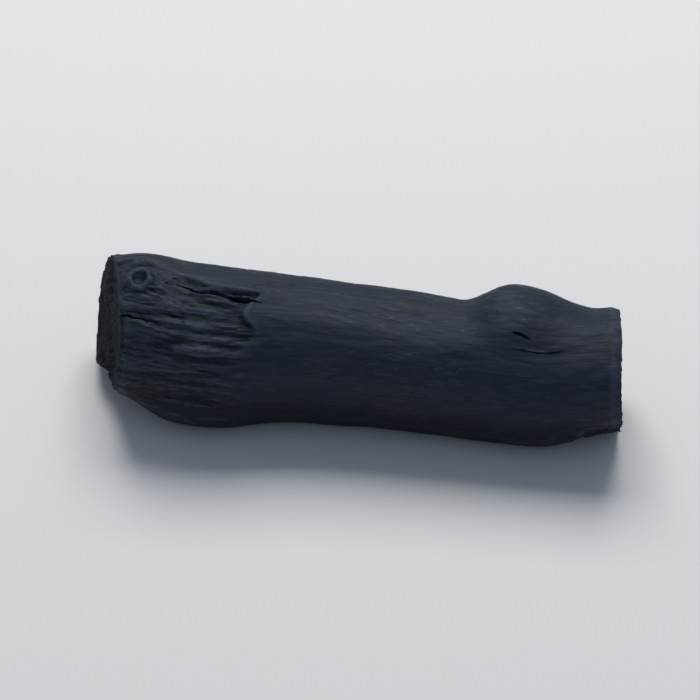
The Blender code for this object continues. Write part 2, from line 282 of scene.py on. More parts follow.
def bareness(x, angle):
    """1 where the flake of skin is gone, and 0 where the skin is whole."""
    down = soft_step(PATCH_FADE_START, PATCH_FADE_END, angle)
    ragged = grain(x, angle, PATCH_RAGGED_LENGTH, PATCH_RAGGED_WIDTH, seed=3.1)
    edge_x = PATCH_EDGE - PATCH_SLANT * down + PATCH_RAGGED * ragged
    fade = PATCH_SHARP + PATCH_FADED * down
    edge = soft_step(edge_x + fade, edge_x - fade, x)
    top_angle = PATCH_TOP + PATCH_TOP_SLANT * (x - PATCH_EDGE)
    top = soft_step(-PATCH_TOP_BLUR, PATCH_TOP_BLUR, turned(angle, top_angle))
    bottom = soft_step(PATCH_BOTTOM_BLUR, -PATCH_BOTTOM_BLUR, turned(angle, PATCH_BOTTOM))
    return edge * top * bottom


print("bare at the patch's middle:", round(bareness(-45, 50), 2), "and on the skin:", bareness(20, 50))

# %% [markdown]
# Bared wood has coarse furrows along its fibres. The far left end is rough with them too,
# though less deeply.

# %% Furrows
FURROW_DEPTH = 0.85
FURROW_LENGTH = 21.0
FURROW_WIDTH = 5.2
FURROW_SHARPNESS = 3.2
ROUGH_START = -44.0
ROUGH_FULL = -64.0
ROUGH_SHARE = 0.55


def furrows(x, angle):
    """Coarse furrows of the bared wood and of the rough left end, up to 1 deep. They die
    out round the eye."""
    ridge = abs(grain(x, angle, FURROW_LENGTH, FURROW_WIDTH, seed=7.7))
    calm = hill(math.hypot(x - EYE_X, across(angle, EYE_ANGLE)) / EYE_CALM)
    return (1 - min(FURROW_SHARPNESS * ridge, 1.0)) * (1 - calm)


print("furrows are up to", FURROW_DEPTH, "mm deep")

# %% [markdown]
# The ledge rises slowly and then falls off sharply, so that its lower edge throws a shadow.

# %% Ledge
LEDGE_X = -39.5
LEDGE_ANGLE = 55.0
LEDGE_LENGTH = 10.0
LEDGE_ACROSS = 6.0
LEDGE_SHARP = 1.2
LEDGE_HEIGHT = 1.6


def ledge(x, angle):
    """The lip across the patch: a slow rise, then a sharp fall."""
    down = across(angle, LEDGE_ANGLE)
    rise = soft_step(-LEDGE_ACROSS, 0, down)
    fall = soft_step(LEDGE_SHARP, 0, down)
    return LEDGE_HEIGHT * hill((x - LEDGE_X) / LEDGE_LENGTH) * rise * fall


print("the ledge stands", LEDGE_HEIGHT, "mm proud")

# %% [markdown]
# The scoop and the chip are both shallow oval dents. The chip took the skin with it, and the
# edge of the skin round it is ragged.

# %% Dents
SCOOP = dict(centre=-45.0, centre_angle=88.0, length=20.0, width=12.0, depth=2.4)
SPALL = dict(centre=12.0, centre_angle=-112.0, length=27.0, width=11.0, depth=1.9)
CHIP_START = 0.22
CHIP_FULL = 0.34
CHIP_RAGGED = 0.2
CHIP_LENGTH = 12
CHIP_WIDTH = 3


def dent(x, angle, centre, centre_angle, length, width, depth):
    """A shallow oval hollow."""
    return -depth * hill(math.hypot((x - centre) / length, across(angle, centre_angle) / width))


def chipped(x, angle):
    """1 on the wood that the chip bared on the back, and 0 where the skin is whole."""
    lost = -dent(x, angle, **SPALL) / SPALL["depth"]
    ragged = CHIP_RAGGED * grain(x, angle, CHIP_LENGTH, CHIP_WIDTH, seed=6.4)
    return soft_step(CHIP_START, CHIP_FULL, lost + ragged)


print("the scoop is", -dent(-45, 88, **SCOOP), "mm deep")

# %% [markdown]
# The splintered corner needs one thing more. Wood breaks in short steps along its fibres,
# and cell noise, which holds one value in each little cell, gives such steps.

# %% Corner and bevel
CORNER_ANGLE = 136.0
CORNER_SPREAD = 60.0
CORNER_START = 54.0
CORNER_END = 80.0
CORNER_DEPTH = 6.6
CORNER_ROUGH = 1.3
CORNER_ROUGH_LENGTH = 8
CORNER_ROUGH_WIDTH = 5
CORNER_ROUGH_FULL = 0.25
CORNER_GRIT = 6.0
CORNER_STEPS = 0.5
BEVEL_ANGLE = 158.0
BEVEL_SPREAD = 75.0
BEVEL_START = -50.0
BEVEL_END = -79.0
BEVEL_DEPTH = 12.0


def torn(x, angle):
    """1 in the middle of the splintered corner, and 0 away from it."""
    return soft_step(CORNER_START, CORNER_END, x) * hill(turned(angle, CORNER_ANGLE) / CORNER_SPREAD)


def corner(x, angle):
    """The splintered corner: a bevel towards the right end, broken into small facets."""
    here = torn(x, angle)
    place = Vector((x / CORNER_GRIT, math.radians(angle) * MEAN_RADIUS / CORNER_GRIT, 2.0))
    steps = CORNER_STEPS * (noise.cell_vector(place).x - 0.5)
    fibres = grain(x, angle, CORNER_ROUGH_LENGTH, CORNER_ROUGH_WIDTH, seed=4.4)
    rough = CORNER_ROUGH * (fibres + steps)
    return -CORNER_DEPTH * here + rough * soft_step(0, CORNER_ROUGH_FULL, here)


def bevel(x, angle):
    """The worn underside of the left end."""
    here = soft_step(BEVEL_START, BEVEL_END, x)
    return -BEVEL_DEPTH * here * hill(turned(angle, BEVEL_ANGLE) / BEVEL_SPREAD)


print("the corner is cut back", round(-corner(72, CORNER_ANGLE), 1), "mm near the end")

# %% [markdown]
# ## The side and the ends
#
# The radius at a place is the girth plus everything above, with broad swells and shallow
# troughs all over.

# %% Radius of the side
SWELL = 0.9
SWELL_SIZE = 26.0
SHALLOW = 0.6
SHALLOW_LENGTH = 38.0
SHALLOW_WIDTH = 7.5


def radius_at(x, angle):
    """Distance from the pith to the side of the branch."""
    bare = bareness(x, angle)
    rough_end = ROUGH_SHARE * soft_step(ROUGH_START, ROUGH_FULL, x)
    swell = SWELL * grain(x, angle, SWELL_SIZE, SWELL_SIZE, seed=1.3)
    shallow = SHALLOW * grain(x, angle, SHALLOW_LENGTH, SHALLOW_WIDTH, seed=5.2)
    grown = girth(x) * (1 + oval(x, angle)) + swell + shallow + collar(x, angle) + eye(x, angle)
    bared = PATCH_DEPTH * bare + FURROW_DEPTH * furrows(x, angle) * max(bare, rough_end)
    dents = dent(x, angle, **SCOOP) + dent(x, angle, **SPALL)
    return grown - bared + dents + corner(x, angle) + bevel(x, angle) + ledge(x, angle)


print("radius on the front of the middle:", round(radius_at(0, 90), 1), "mm")

# %% [markdown]
# Each end face leans a little, is hollow towards the pith and is broken unevenly.

# %% End faces
LEFT_END = -71.0
LEFT_LEAN = 8.0
LEFT_LEAN_ANGLE = 60.0
RIGHT_END = 74.0
RIGHT_LEAN = 2.0
RIGHT_LEAN_ANGLE = 120.0
END_HOLLOW = 1.5
END_BROKEN = 1.6
END_BROKEN_SIZE = 0.43
END_BROKEN_REACH = 0.75


def end_at(angle, reach, right):
    """X of an end face, at a share of the way from the pith to the rim."""
    centre, lean, lean_angle = (
        (RIGHT_END, RIGHT_LEAN, RIGHT_LEAN_ANGLE)
        if right
        else (LEFT_END, LEFT_LEAN, LEFT_LEAN_ANGLE)
    )
    slope = lean * math.cos(math.radians(angle - lean_angle)) * reach
    inward = -1 if right else 1
    hollow = END_HOLLOW * inward * (1 - reach * reach)
    turn = math.radians(angle)
    spot = Vector((reach * math.cos(turn), reach * math.sin(turn), 4.0 * inward))
    inside = soft_step(1.0, END_BROKEN_REACH, reach)
    broken = END_BROKEN * noise.noise(spot / END_BROKEN_SIZE) * inside
    return centre + slope + hollow + broken


print("left face at the top of its rim:", round(end_at(0, 1, False), 1), "mm")

# %% [markdown]
# The rim between side and face is worn, more in some places than in others.

# %% Points of the surface
RIM_WEAR = 0.7
RIM_UNEVEN = 0.8
RIM_UNEVEN_LENGTH = 30
RIM_UNEVEN_WIDTH = 6
RIM_REACH = 2.6


def surface_point(reach, along, angle):
    """A point of the branch. reach is 0 at the pith and 1 at the rim, and along runs from
    0 at the left end face to 1 at the right one."""
    left = end_at(angle, reach, right=False)
    right = end_at(angle, reach, right=True)
    x = left + (right - left) * along
    to_end = min(x - left, right - x)
    uneven = RIM_UNEVEN * grain(x, angle, RIM_UNEVEN_LENGTH, RIM_UNEVEN_WIDTH, seed=8.8)
    wear = RIM_WEAR * (1 + uneven)
    radius = reach * (radius_at(x, angle) - wear * (1 - soft_step(0, RIM_REACH, to_end)))
    y, z = pith_at(x)
    turn = math.radians(angle)
    return x, y - radius * math.sin(turn), max(z + radius * math.cos(turn), 0.0)


print("the middle of the top:", [round(v, 1) for v in surface_point(1, 0.5, 0)])

# %% [markdown]
# ## The mesh of the branch
#
# The mesh is a closed net: rings in the left face, rings along the side, rings in the right
# face, and one point at each pith. A half-millimetre net is fine enough to carry furrows and
# growth rings as real shape, which gives true shadows at every angle of view. The rings are
# closer together on the left third, where there is more to see.

# %% Rows and net
FINENESS = 1.0
COLUMNS = round(280 * FINENESS)
FACE_RINGS = round(30 * FINENESS)
LEFT_ROWS = round(84 * FINENESS)
RIGHT_ROWS = round(134 * FINENESS)


def rows_of_branch():
    """(reach, along) of every ring from the left face to the right one."""
    split = (PATCH_EDGE + 6 - LEFT_END) / (RIGHT_END - LEFT_END)
    face = [(n + 1) / (FACE_RINGS + 1) for n in range(FACE_RINGS)]
    left_side = [split * n / LEFT_ROWS for n in range(LEFT_ROWS)]
    right_side = [split + (1 - split) * n / RIGHT_ROWS for n in range(RIGHT_ROWS + 1)]
    left_face = [(reach, 0.0) for reach in face]
    sides = [(1.0, share) for share in left_side + right_side]
    return left_face + sides + [(reach, 1.0) for reach in reversed(face)]


def net_faces(rings):
    """Quads between neighbouring rings, and a fan of triangles round each pith."""
    last = rings * COLUMNS
    faces = []
    for column in range(COLUMNS):
        after = (column + 1) % COLUMNS
        faces.append((last, after, column))
        top = last - COLUMNS
        faces.append((last + 1, top + column, top + after))
        for ring in range(rings - 1):
            low = ring * COLUMNS
            faces.append((low + column, low + after, low + COLUMNS + after, low + COLUMNS + column))
    return faces


rows = rows_of_branch()
angles = [360 * column / COLUMNS - 180 for column in range(COLUMNS)]
points = [surface_point(reach, along, angle) for reach, along in rows for angle in angles]
points.append(surface_point(0, 0, 0))
points.append(surface_point(0, 1, 0))
print(len(rows), "rings,", len(points), "points")

# %% [markdown]
# The frame says where the branch lies. Its box is centred over the origin, so the net is
# moved by the difference between the two boxes and nothing is typed in.

# %% Place the net in the frame
cad_low, cad_high = (Vector(corner_point) / MM for corner_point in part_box(LUMP))
net = np.array(points)
shift = [
    (cad_low[side] + cad_high[side] - net[:, side].min() - net[:, side].max()) / 2
    for side in (0, 1)
]
SHIFT = Vector((shift[0], shift[1], 0))


def new_mesh_object(name, places, faces):
    """An object whose mesh is given in millimetres of the branch and kept in metres of the
    frame, with every face turned outwards."""
    mesh = bpy.data.meshes.new(name)
    mesh.from_pydata([(Vector(place) + SHIFT) * MM for place in places], [], faces)
    turned_out = bmesh.new()
    turned_out.from_mesh(mesh)
    bmesh.ops.recalc_face_normals(turned_out, faces=turned_out.faces)
    turned_out.to_mesh(mesh)
    turned_out.free()
    made = bpy.data.objects.new(name, mesh)
    bpy.context.scene.collection.objects.link(made)
    return made


branch = new_mesh_object("charred_branch", points, net_faces(len(rows)))
print("moved by", [round(v, 2) for v in SHIFT], "mm;", len(branch.data.polygons), "faces")

# %% [markdown]
# ## Drying cracks
#
# Wood shrinks by a quarter when it chars, and more round the rings than across them, so it
# splits along its fibres and from the pith outwards. A crack is a thin wedge of air. Each
# one is cut by a blade: a long closed wedge that follows the surface. Cutting keeps the
# crack's edges sharp, which pushing points of the net inwards can't do.

# %% A blade
BLADE_LIFT = 3.0
TIP_SHARE = 0.04


def blade(spine):
    """The points and faces of a wedge. Each station of the spine has its place on the
    surface, the way out of the wood, half its gap and its depth."""
    places = []
    for n, (place, outward, half_gap, depth) in enumerate(spine):
        before = spine[max(n - 1, 0)][0]
        after = spine[min(n + 1, len(spine) - 1)][0]
        sideways = (after - before).cross(outward).normalized()
        spread = half_gap * (depth + BLADE_LIFT) / depth
        places.append(place + outward * BLADE_LIFT + sideways * spread)
        places.append(place + outward * BLADE_LIFT - sideways * spread)
        places.append(place - outward * depth)
    faces = [(2, 1, 0), (len(places) - 3, len(places) - 2, len(places) - 1)]
    for first in range(0, len(places) - 3, 3):
        for a, b in ((0, 1), (1, 2), (2, 0)):
            faces.append((first + a, first + b, first + 3 + b, first + 3 + a))
    return places, faces


def fullness(share, widest):
    """How open a crack is along its length: nothing at its ends, 1 where it is widest."""
    open_share = share / widest if share < widest else (1 - share) / (1 - widest)
    return TIP_SHARE + (1 - TIP_SHARE) * open_share


print("blades stand", BLADE_LIFT, "mm out of the wood")

# %% [markdown]
# Each line of the table is one crack along the side: where it starts and ends along the
# branch, its angles there, its gap and its depth in millimetres, and the share of its length
# at which it is widest. It strays to the side in long waves and in short ragged steps.

# %% Cracks along the side
SIDE_STATION = 1.6
SIDE_STRAY = 2.9
SIDE_STRAY_LENGTH = 5.0
RAGGED_STRAY = 0.5
RAGGED_LENGTH = 1.7
SIDE_CRACKS = {
    "skin_slit": (-49, -25.5, 1, 13, 2.0, 3.6, 0.80),
    "eye_check": (-67, -55, 36, 39, 0.9, 2.2, 0.35),
    "collar_pit": (43, 49, 17, 19, 1.3, 2.0, 0.40),
    "front_line": (45, 58, 30, 29, 0.3, 0.8, 0.45),
    "back_check": (-38, 34, -133, -126, 1.5, 5.5, 0.45),
    "back_split": (36, 84, -78, -71, 2.0, 7.5, 0.95),
    "left_split": (-86, -52, -158, -152, 1.6, 6.0, 0.10),
    "top_check": (-14, 12, -48, -45, 0.6, 1.6, 0.50),
}


def side_blade(start, end, start_angle, end_angle, gap, depth, widest, seed):
    """A crack along the side of the branch, which wanders a little as it goes."""
    stations = round(abs(end - start) / SIDE_STATION)
    spine = []
    for n in range(stations + 1):
        share = n / stations
        x = start + (end - start) * share
        stray = SIDE_STRAY * noise.noise(Vector((x / SIDE_STRAY_LENGTH, seed, 0.5)))
        ragged = RAGGED_STRAY * noise.noise(Vector((x / RAGGED_LENGTH, seed, 7.5)))
        angle = start_angle + (end_angle - start_angle) * share + stray + ragged
        inside = min(max(x, LEFT_END), RIGHT_END)
        y, z = pith_at(inside)
        turn = math.radians(angle)
        outward = Vector((0, -math.sin(turn), math.cos(turn)))
        place = Vector((x, y, z)) + outward * radius_at(inside, angle)
        full = fullness(share, widest)
        spine.append((place, outward, gap / 2 * full, depth * full**0.5))
    return blade(spine)


blades = [new_mesh_object(f"blade_{name}", *side_blade(*crack, seed))
          for seed, (name, crack) in enumerate(SIDE_CRACKS.items())]
print(len(blades), "blades along the side")

# %% [markdown]
# An end face cracks in rays, which start at or near the pith and are widest a third of the
# way out, and in a few shakes, which follow a growth ring. A ray's line has its angle, its
# two distances from the pith, its gap and its depth. A shake's has its two angles, its
# distance from the pith, its gap and its depth.

# %% Cracks in the ends
FACE_STATIONS = 14
RAY_WIDEST = 0.35
SHAKE_WIDEST = 0.5
FACE_STRAY = 9.0
FACE_STRAY_LENGTH = 4.0
LEFT_RAYS = (
    (22, 1.0, 15.0, 0.8, 3.5),
    (71, 5.0, 12.5, 0.5, 2.0),
    (118, 0.5, 18.5, 1.3, 5.5),
    (-141, 3.0, 11.0, 0.6, 2.5),
    (-87, 0.5, 14.0, 0.9, 4.0),
    (-49, 6.0, 17.0, 0.5, 2.2),
)
RIGHT_RAYS = (
    (9, 0.5, 13.0, 0.8, 3.5),
    (47, 5.5, 15.5, 0.5, 2.2),
    (121, 1.0, 10.0, 0.6, 2.5),
    (-172, 4.0, 15.5, 0.7, 3.0),
    (-74, 0.5, 19.5, 1.4, 5.5),
    (-29, 7.0, 16.0, 0.5, 2.0),
)
LEFT_SHAKES = ((128, 176, 11.5, 0.7, 2.4), (-74, -40, 8.0, 0.5, 2.0))
RIGHT_SHAKES = ((52, 104, 12.5, 0.7, 2.4), (-165, -128, 8.5, 0.5, 2.0))


def face_blade(start, end, gap, depth, widest, right):
    """A crack in an end face between two places, each an angle and a distance from the pith."""
    outward = Vector((1 if right else -1, 0, 0))
    spine = []
    for n in range(FACE_STATIONS + 1):
        share = n / FACE_STATIONS
        angle = start[0] + (end[0] - start[0]) * share
        from_pith = start[1] + (end[1] - start[1]) * share
        stray = noise.noise(Vector((from_pith / FACE_STRAY_LENGTH, angle / FACE_STRAY, start[0])))
        turn = math.radians(angle + FACE_STRAY * share * stray)
        x = end_at(angle, from_pith / MEAN_RADIUS, right)
        y, z = pith_at(x)
        place = Vector((x, y - from_pith * math.sin(turn), z + from_pith * math.cos(turn)))
        full = fullness(share, widest)
        spine.append((place, outward, gap / 2 * full, depth * full**0.5))
    return blade(spine)


def ray_blade(angle, inner, outer, gap, depth, right):
    """A crack that runs out from the pith towards the rim."""
    return face_blade((angle, inner), (angle, outer), gap, depth, RAY_WIDEST, right)


def shake_blade(start_angle, end_angle, from_pith, gap, depth, right):
    """A crack that follows a growth ring."""
    start, end = (start_angle, from_pith), (end_angle, from_pith)
    return face_blade(start, end, gap, depth, SHAKE_WIDEST, right)


print(len(LEFT_RAYS), "rays on the left and", len(RIGHT_RAYS), "on the right")

# %% [markdown]
# The soft pith itself burns away to a small round hole. With its plug, the cutters of each
# end are complete, first the left end and then the right one.

# %% Holes of the pith
PITH_RADIUS = 1.1
PITH_NARROWING = 0.6
PITH_DEPTH = 6.0
PITH_SIDES = 24


def pith_plug(right):
    """A round plug that narrows inwards, for the hole of the pith."""
    outward = 1 if right else -1
    x = end_at(0, 0, right)
    y, z = pith_at(x)
    places = []
    foot = (-PITH_DEPTH, PITH_NARROWING * PITH_RADIUS)
    for out, radius in (foot, (PITH_DEPTH, PITH_RADIUS)):
        for side in range(PITH_SIDES):
            turn = math.tau * side / PITH_SIDES
            places.append((x + outward * out, y + radius * math.cos(turn), z + radius * math.sin(turn)))
    faces = [tuple(range(PITH_SIDES)), tuple(range(PITH_SIDES, 2 * PITH_SIDES))]
    for side in range(PITH_SIDES):
        after = (side + 1) % PITH_SIDES
        faces.append((side, after, PITH_SIDES + after, PITH_SIDES + side))
    return places, faces


for right, rays, shakes in ((False, LEFT_RAYS, LEFT_SHAKES), (True, RIGHT_RAYS, RIGHT_SHAKES)):
    blades += [new_mesh_object("blade_ray", *ray_blade(*ray, right)) for ray in rays]
    blades += [new_mesh_object("blade_shake", *shake_blade(*shake, right)) for shake in shakes]
    blades.append(new_mesh_object("plug_pith", *pith_plug(right)))
print(len(blades), "cutters in all")

# %% [markdown]
# One Boolean takes all the blades away at once. Its result is turned to a plain mesh, and
# the blades have done their work.

# %% Cut the cracks
def plain_mesh(made):
    """Applies an object's modifiers, by replacing its mesh with what they give."""
    evaluated = made.evaluated_get(bpy.context.evaluated_depsgraph_get())
    result = bpy.data.meshes.new_from_object(evaluated)
    made.modifiers.clear()
    made.data = result


cutters = bpy.data.collections.new("cutters")
bpy.context.scene.collection.children.link(cutters)
for cutter in blades:
    bpy.context.scene.collection.objects.unlink(cutter)
    cutters.objects.link(cutter)
cut = branch.modifiers.new("cracks", "BOOLEAN")
cut.operation = "DIFFERENCE"
cut.solver = "EXACT"
cut.operand_type = "COLLECTION"
cut.collection = cutters
plain_mesh(branch)
for cutter in blades:
    bpy.data.objects.remove(cutter)
bpy.data.collections.remove(cutters)
print("after cutting:", len(branch.data.vertices), "points,", len(branch.data.polygons), "faces")

# %% [markdown]
# ## What each point knows about itself
#
# The finish depends on where a point is: on whole skin, on bared wood, on an end face, in
# the torn corner or down in a crack, where the finish paints shade. Each of these is kept as
# an attribute on the points, so relief and material read one and the same map. The wood's own
# place, measured from the crooked pith, is kept too, because fibres follow the branch and not the
# world's axes.

# %% Attributes
END_GRAIN_NONE = 0.9
END_GRAIN_FULL = 0.2
# Depths below the surface at which the painted shade of a crack starts and is full.
CRACK_SHADE_START = 0.25
CRACK_SHADE_FULL = 1.6


def wood_facts(place):
    """The place from the pith, and how bare, cut across, torn and deep the wood is there."""
    x, y, z = place
    pith_y, pith_z = pith_at(x)
    side, up = pith_y - y, z - pith_z
    from_pith = math.hypot(side, up)
    angle = math.degrees(math.atan2(side, up))
    nominal = radius_at(x, angle)
    reach = min(from_pith / nominal, 1.0)
    to_end = min(x - end_at(angle, reach, False), end_at(angle, reach, True) - x)
    end_grain = soft_step(END_GRAIN_NONE, END_GRAIN_FULL, to_end)
    below = min(nominal - from_pith, to_end)
    bared = max(bareness(x, angle), chipped(x, angle))
    # How far down in a crack a point is; the finish paints shade there by it.
    deep = soft_step(CRACK_SHADE_START, CRACK_SHADE_FULL, below)
    return (x, side, up), bared, end_grain, torn(x, angle), deep


def keep_attributes(made):
    """Stores the facts of every point on the mesh."""
    facts = [wood_facts(vertex.co / MM - SHIFT) for vertex in made.data.vertices]
    places = made.data.attributes.new("wood_place", "FLOAT_VECTOR", "POINT")
    stored = np.array([fact[0] for fact in facts], dtype=np.float32)
    places.data.foreach_set("vector", stored.ravel() * MM)
    for n, name in enumerate(("bare", "end_grain", "torn", "deep"), start=1):
        layer = made.data.attributes.new(name, "FLOAT", "POINT")
        layer.data.foreach_set("value", np.array([fact[n] for fact in facts], dtype=np.float32))
    return facts


facts = keep_attributes(branch)
print("share of points on end grain:", round(sum(fact[2] for fact in facts) / len(facts), 2))

# %% [markdown]
# ## A helper for nodes
#
# Node trees are built in code. One small function adds a node, sets what it is told, links
# its inputs and gives back its outputs: a value that is itself a socket becomes a link.

# %% Add a node
def add_node(tree, kind, settings=None, inputs=None):
    """Adds a node with its settings and its inputs, by name or number. Gives its outputs."""
    node = tree.nodes.new(kind)
    for name, value in (settings or {}).items():
        setattr(node, name, value)
    for name, value in (inputs or {}).items():
        if isinstance(value, bpy.types.NodeSocket):
            tree.links.new(value, node.inputs[name])
        else:
            node.inputs[name].default_value = value
    return node.outputs


def new_tree(name, sizes):
    """A Geometry Nodes tree with one named number for each of its sizes."""
    tree = bpy.data.node_groups.new(name, "GeometryNodeTree")
    tree.interface.new_socket("Geometry", in_out="INPUT", socket_type="NodeSocketGeometry")
    for size_name, value in sizes.items():
        socket = tree.interface.new_socket(size_name, in_out="INPUT", socket_type="NodeSocketFloat")
        socket.default_value = value
    tree.interface.new_socket("Geometry", in_out="OUTPUT", socket_type="NodeSocketGeometry")
    return tree


def close_tree(tree, geometry, finish):
    """Ends a tree: its instances become real, take the finish and go to the output."""
    real = add_node(tree, "GeometryNodeRealizeInstances", inputs={0: geometry})[0]
    finished = add_node(tree, "GeometryNodeSetMaterial", inputs={0: real, "Material": finish})[0]
    add_node(tree, "NodeGroupOutput", inputs={0: finished})


def grow(made, tree, sizes):
    """Runs a tree on an object with these sizes, and keeps the result as a plain mesh."""
    modifier = made.modifiers.new(tree.name, "NODES")
    modifier.node_group = tree
    for item in tree.interface.items_tree:
        if item.item_type == "SOCKET" and item.in_out == "INPUT" and item.name in sizes:
            modifier[item.identifier] = float(sizes[item.name])
    plain_mesh(made)


print("a helper for every node")

# %% [markdown]
# Some kinds of node, and some of their settings, come up again and again. They get short
# names here, so that the lines below read as the sums that they are.

# %% Names for common nodes and settings
MATH = "ShaderNodeMath"
VECTOR_MATH = "ShaderNodeVectorMath"
MAP_RANGE = "ShaderNodeMapRange"
MIX = "ShaderNodeMix"
NOISE = "ShaderNodeTexNoise"
ATTRIBUTE = "ShaderNodeAttribute"
NAMED_ATTRIBUTE = "GeometryNodeInputNamedAttribute"
ADD = {"operation": "ADD"}
SUBTRACT = {"operation": "SUBTRACT"}
MULTIPLY = {"operation": "MULTIPLY"}
DIVIDE = {"operation": "DIVIDE"}
MULTIPLY_ADD = {"operation": "MULTIPLY_ADD"}
LARGER = {"operation": "MAXIMUM"}
POWER = {"operation": "POWER"}
LENGTH = {"operation": "LENGTH"}
FRACTION = {"operation": "FRACT"}
SCALE = {"operation": "SCALE"}
NUMBERS = {"data_type": "FLOAT"}
VECTORS = {"data_type": "FLOAT_VECTOR"}
COLOURS = {"data_type": "RGBA"}
SMOOTH = {"interpolation_type": "SMOOTHSTEP"}
print("sums are", MATH, "nodes")

# %% [markdown]
# ## The finish: hardwood char
#
# Charcoal is almost pure carbon, with a reflectance of about 4 %. Smooth char has a satin,
# slightly blue sheen, bared fibres are greyer and duller, and edges that rubbed in the bag are
# paler. The underside, the hollows and the insides of cracks get a painted shade, near black.
# A light dust of ash sits in the grain.
# The colours are sRGB hex values, turned to linear by one function.

# %% Colours
SKIN_BLUE = "#1e2936"
SKIN_GREY = "#262c35"
SKIN_WARM = "#2a2d34"
SKIN_DARK = "#11161f"
# Painted shade: the near black that darkens the underside.
UNDERSIDE_SHADE_BLACK = "#0c1119"
BARE_GREY = "#2f3641"
BARE_DARK = "#131a24"
EARLY_WOOD = "#0a0e13"
LATE_WOOD = "#242b34"
# Painted shade: the near black of the hollows and the insides of cracks.
PAINTED_SHADE_BLACK = "#050607"
WORN_GREY = "#48515e"
ASH_GREY = "#686e75"


def linear(hex_colour):
    """An sRGB hex colour as a linear one with full alpha."""
    channels = [int(hex_colour[n:n + 2], 16) / 255 for n in (1, 3, 5)]
    return [c / 12.92 if c <= 0.04045 else ((c + 0.055) / 1.055) ** 2.4 for c in channels] + [1.0]


print("skin reflects", round(linear(SKIN_BLUE)[1], 3))

# %% [markdown]
# The pattern sizes are real ones: broad mottling of about 20 mm, fibre streaks a little over
# a millimetre wide, and growth rings of 2.3 mm. Every pattern reads the wood's own place, so
# that it bends with the branch. Vessels are about 0.1 mm wide, too fine to show, so the
# pores on the end grain are drawn coarser, 0.55 mm apart.

# %% Patterns of the wood
STREAK_LENGTH = 26.0
STREAK_WIDTH = 1.3
FIBRE_LENGTH = 12.0
FIBRE_WIDTH = 0.8
HAIR_LENGTH = 5.0
HAIR_WIDTH = 0.38


def along_grain(tree, length, width):
    """The place in the wood, stretched: one unit is this long along the fibres, and this
    wide across them, in millimetres."""
    place = add_node(tree, ATTRIBUTE, {"attribute_name": "wood_place"})["Vector"]
    scale = (1 / (length * MM), 1 / (width * MM), 1 / (width * MM))
    return add_node(tree, "ShaderNodeMapping", inputs={"Vector": place, "Scale": scale})[0]


def grain_noise(tree, length, width, detail):
    """Noise that is stretched along the fibres, about 0 to 1."""
    inputs = {"Vector": along_grain(tree, length, width), "Scale": 1.0, "Detail": detail}
    return add_node(tree, NOISE, inputs=inputs)[0]


def share_between(tree, value, limits):
    """0 where a value is at the first limit, 1 at the second, and a soft slope between."""
    inputs = {"Value": value, "From Min": limits[0], "From Max": limits[1]}
    return add_node(tree, MAP_RANGE, SMOOTH, inputs)[0]


def patches(tree, length, width, detail, low, high):
    """The same noise as soft patches: 0 where it is below low, and 1 above high."""
    return share_between(tree, grain_noise(tree, length, width, detail), (low, high))


print("streaks are", STREAK_WIDTH, "mm wide and fibres", FIBRE_WIDTH, "mm")

# %% [markdown]
# The end grain has patterns of its own. Each year's ring starts with pale, open early wood
# that burns away first, and ends in dense late wood that stands out and shines. Thin rays
# cross the rings on their way from the pith. Both are worked out from the distance and the
# direction to the pith.

# %% Rings and rays of the end grain
RING_WIDTH = 2.3
RING_SWAY = 4.0
SWAY_LENGTH = 14.0
SWAY_WIDTH = 9.0
RAY_FINENESS = 13.0


def from_pith(tree):
    """The place across the branch, in millimetres from the pith."""
    place = add_node(tree, ATTRIBUTE, {"attribute_name": "wood_place"})["Vector"]
    return add_node(tree, VECTOR_MATH, MULTIPLY, {0: place, 1: (0, 1 / MM, 1 / MM)})[0]


def share_of_year(tree, place, sway):
    """0 at the start of each year's ring, rising to 1 at its end. The sway bends the rings."""
    distance = add_node(tree, VECTOR_MATH, LENGTH, {0: place})["Value"]
    sway = add_node(tree, MATH, SUBTRACT, {0: sway, 1: 0.5})[0]
    swayed = add_node(tree, MATH, MULTIPLY_ADD, {0: sway, 1: RING_SWAY, 2: distance})[0]
    years = add_node(tree, MATH, DIVIDE, {0: swayed, 1: RING_WIDTH})[0]
    return add_node(tree, MATH, FRACTION, {0: years})[0]


def year_rings(tree):
    """The growth rings, as the finish paints them."""
    sway = grain_noise(tree, SWAY_LENGTH, SWAY_WIDTH, 1.0)
    return share_of_year(tree, from_pith(tree), sway)


def wood_rays(tree):
    """Thin streaks that run out from the pith, about 0 to 1."""
    outward = add_node(tree, VECTOR_MATH, {"operation": "NORMALIZE"}, {0: from_pith(tree)})[0]
    inputs = {"Vector": outward, "Scale": RAY_FINENESS, "Detail": 3.0}
    return add_node(tree, NOISE, inputs=inputs)[0]


print("growth rings every", RING_WIDTH, "mm")

# %% [markdown]
# The colours are laid one over another, as a painter would: each layer has a share, from 0
# to 1, that says how much of it covers what is below. The shares come from the branch's
# attributes and from the patterns.

# %% Layers of colour
def facts_in(tree):
    """The branch's own facts, as its finish reads them."""
    facts = {}
    for name in ("bare", "end_grain", "deep", "height"):
        facts[name] = add_node(tree, ATTRIBUTE, {"attribute_name": name})["Fac"]
    return facts


def painted(tree, ground, layers):
    """Colours laid over a ground, each by its share and its strength."""
    for share, strength, hex_colour in layers:
        shown = add_node(tree, MATH, MULTIPLY, {0: share, 1: strength})[0]
        over = hex_colour if isinstance(hex_colour, bpy.types.NodeSocket) else linear(hex_colour)
        inputs = {"Factor": shown, "A": ground, "B": over}
        ground = add_node(tree, MIX, COLOURS, inputs)["Result"]
    return ground


print("layers are mixed one at a time")

# %% [markdown]
# The underside is darkened towards black with a painted shade, so that it is the darkest part.
# The shade starts a little above the pith, and its edge sways along the fibres.

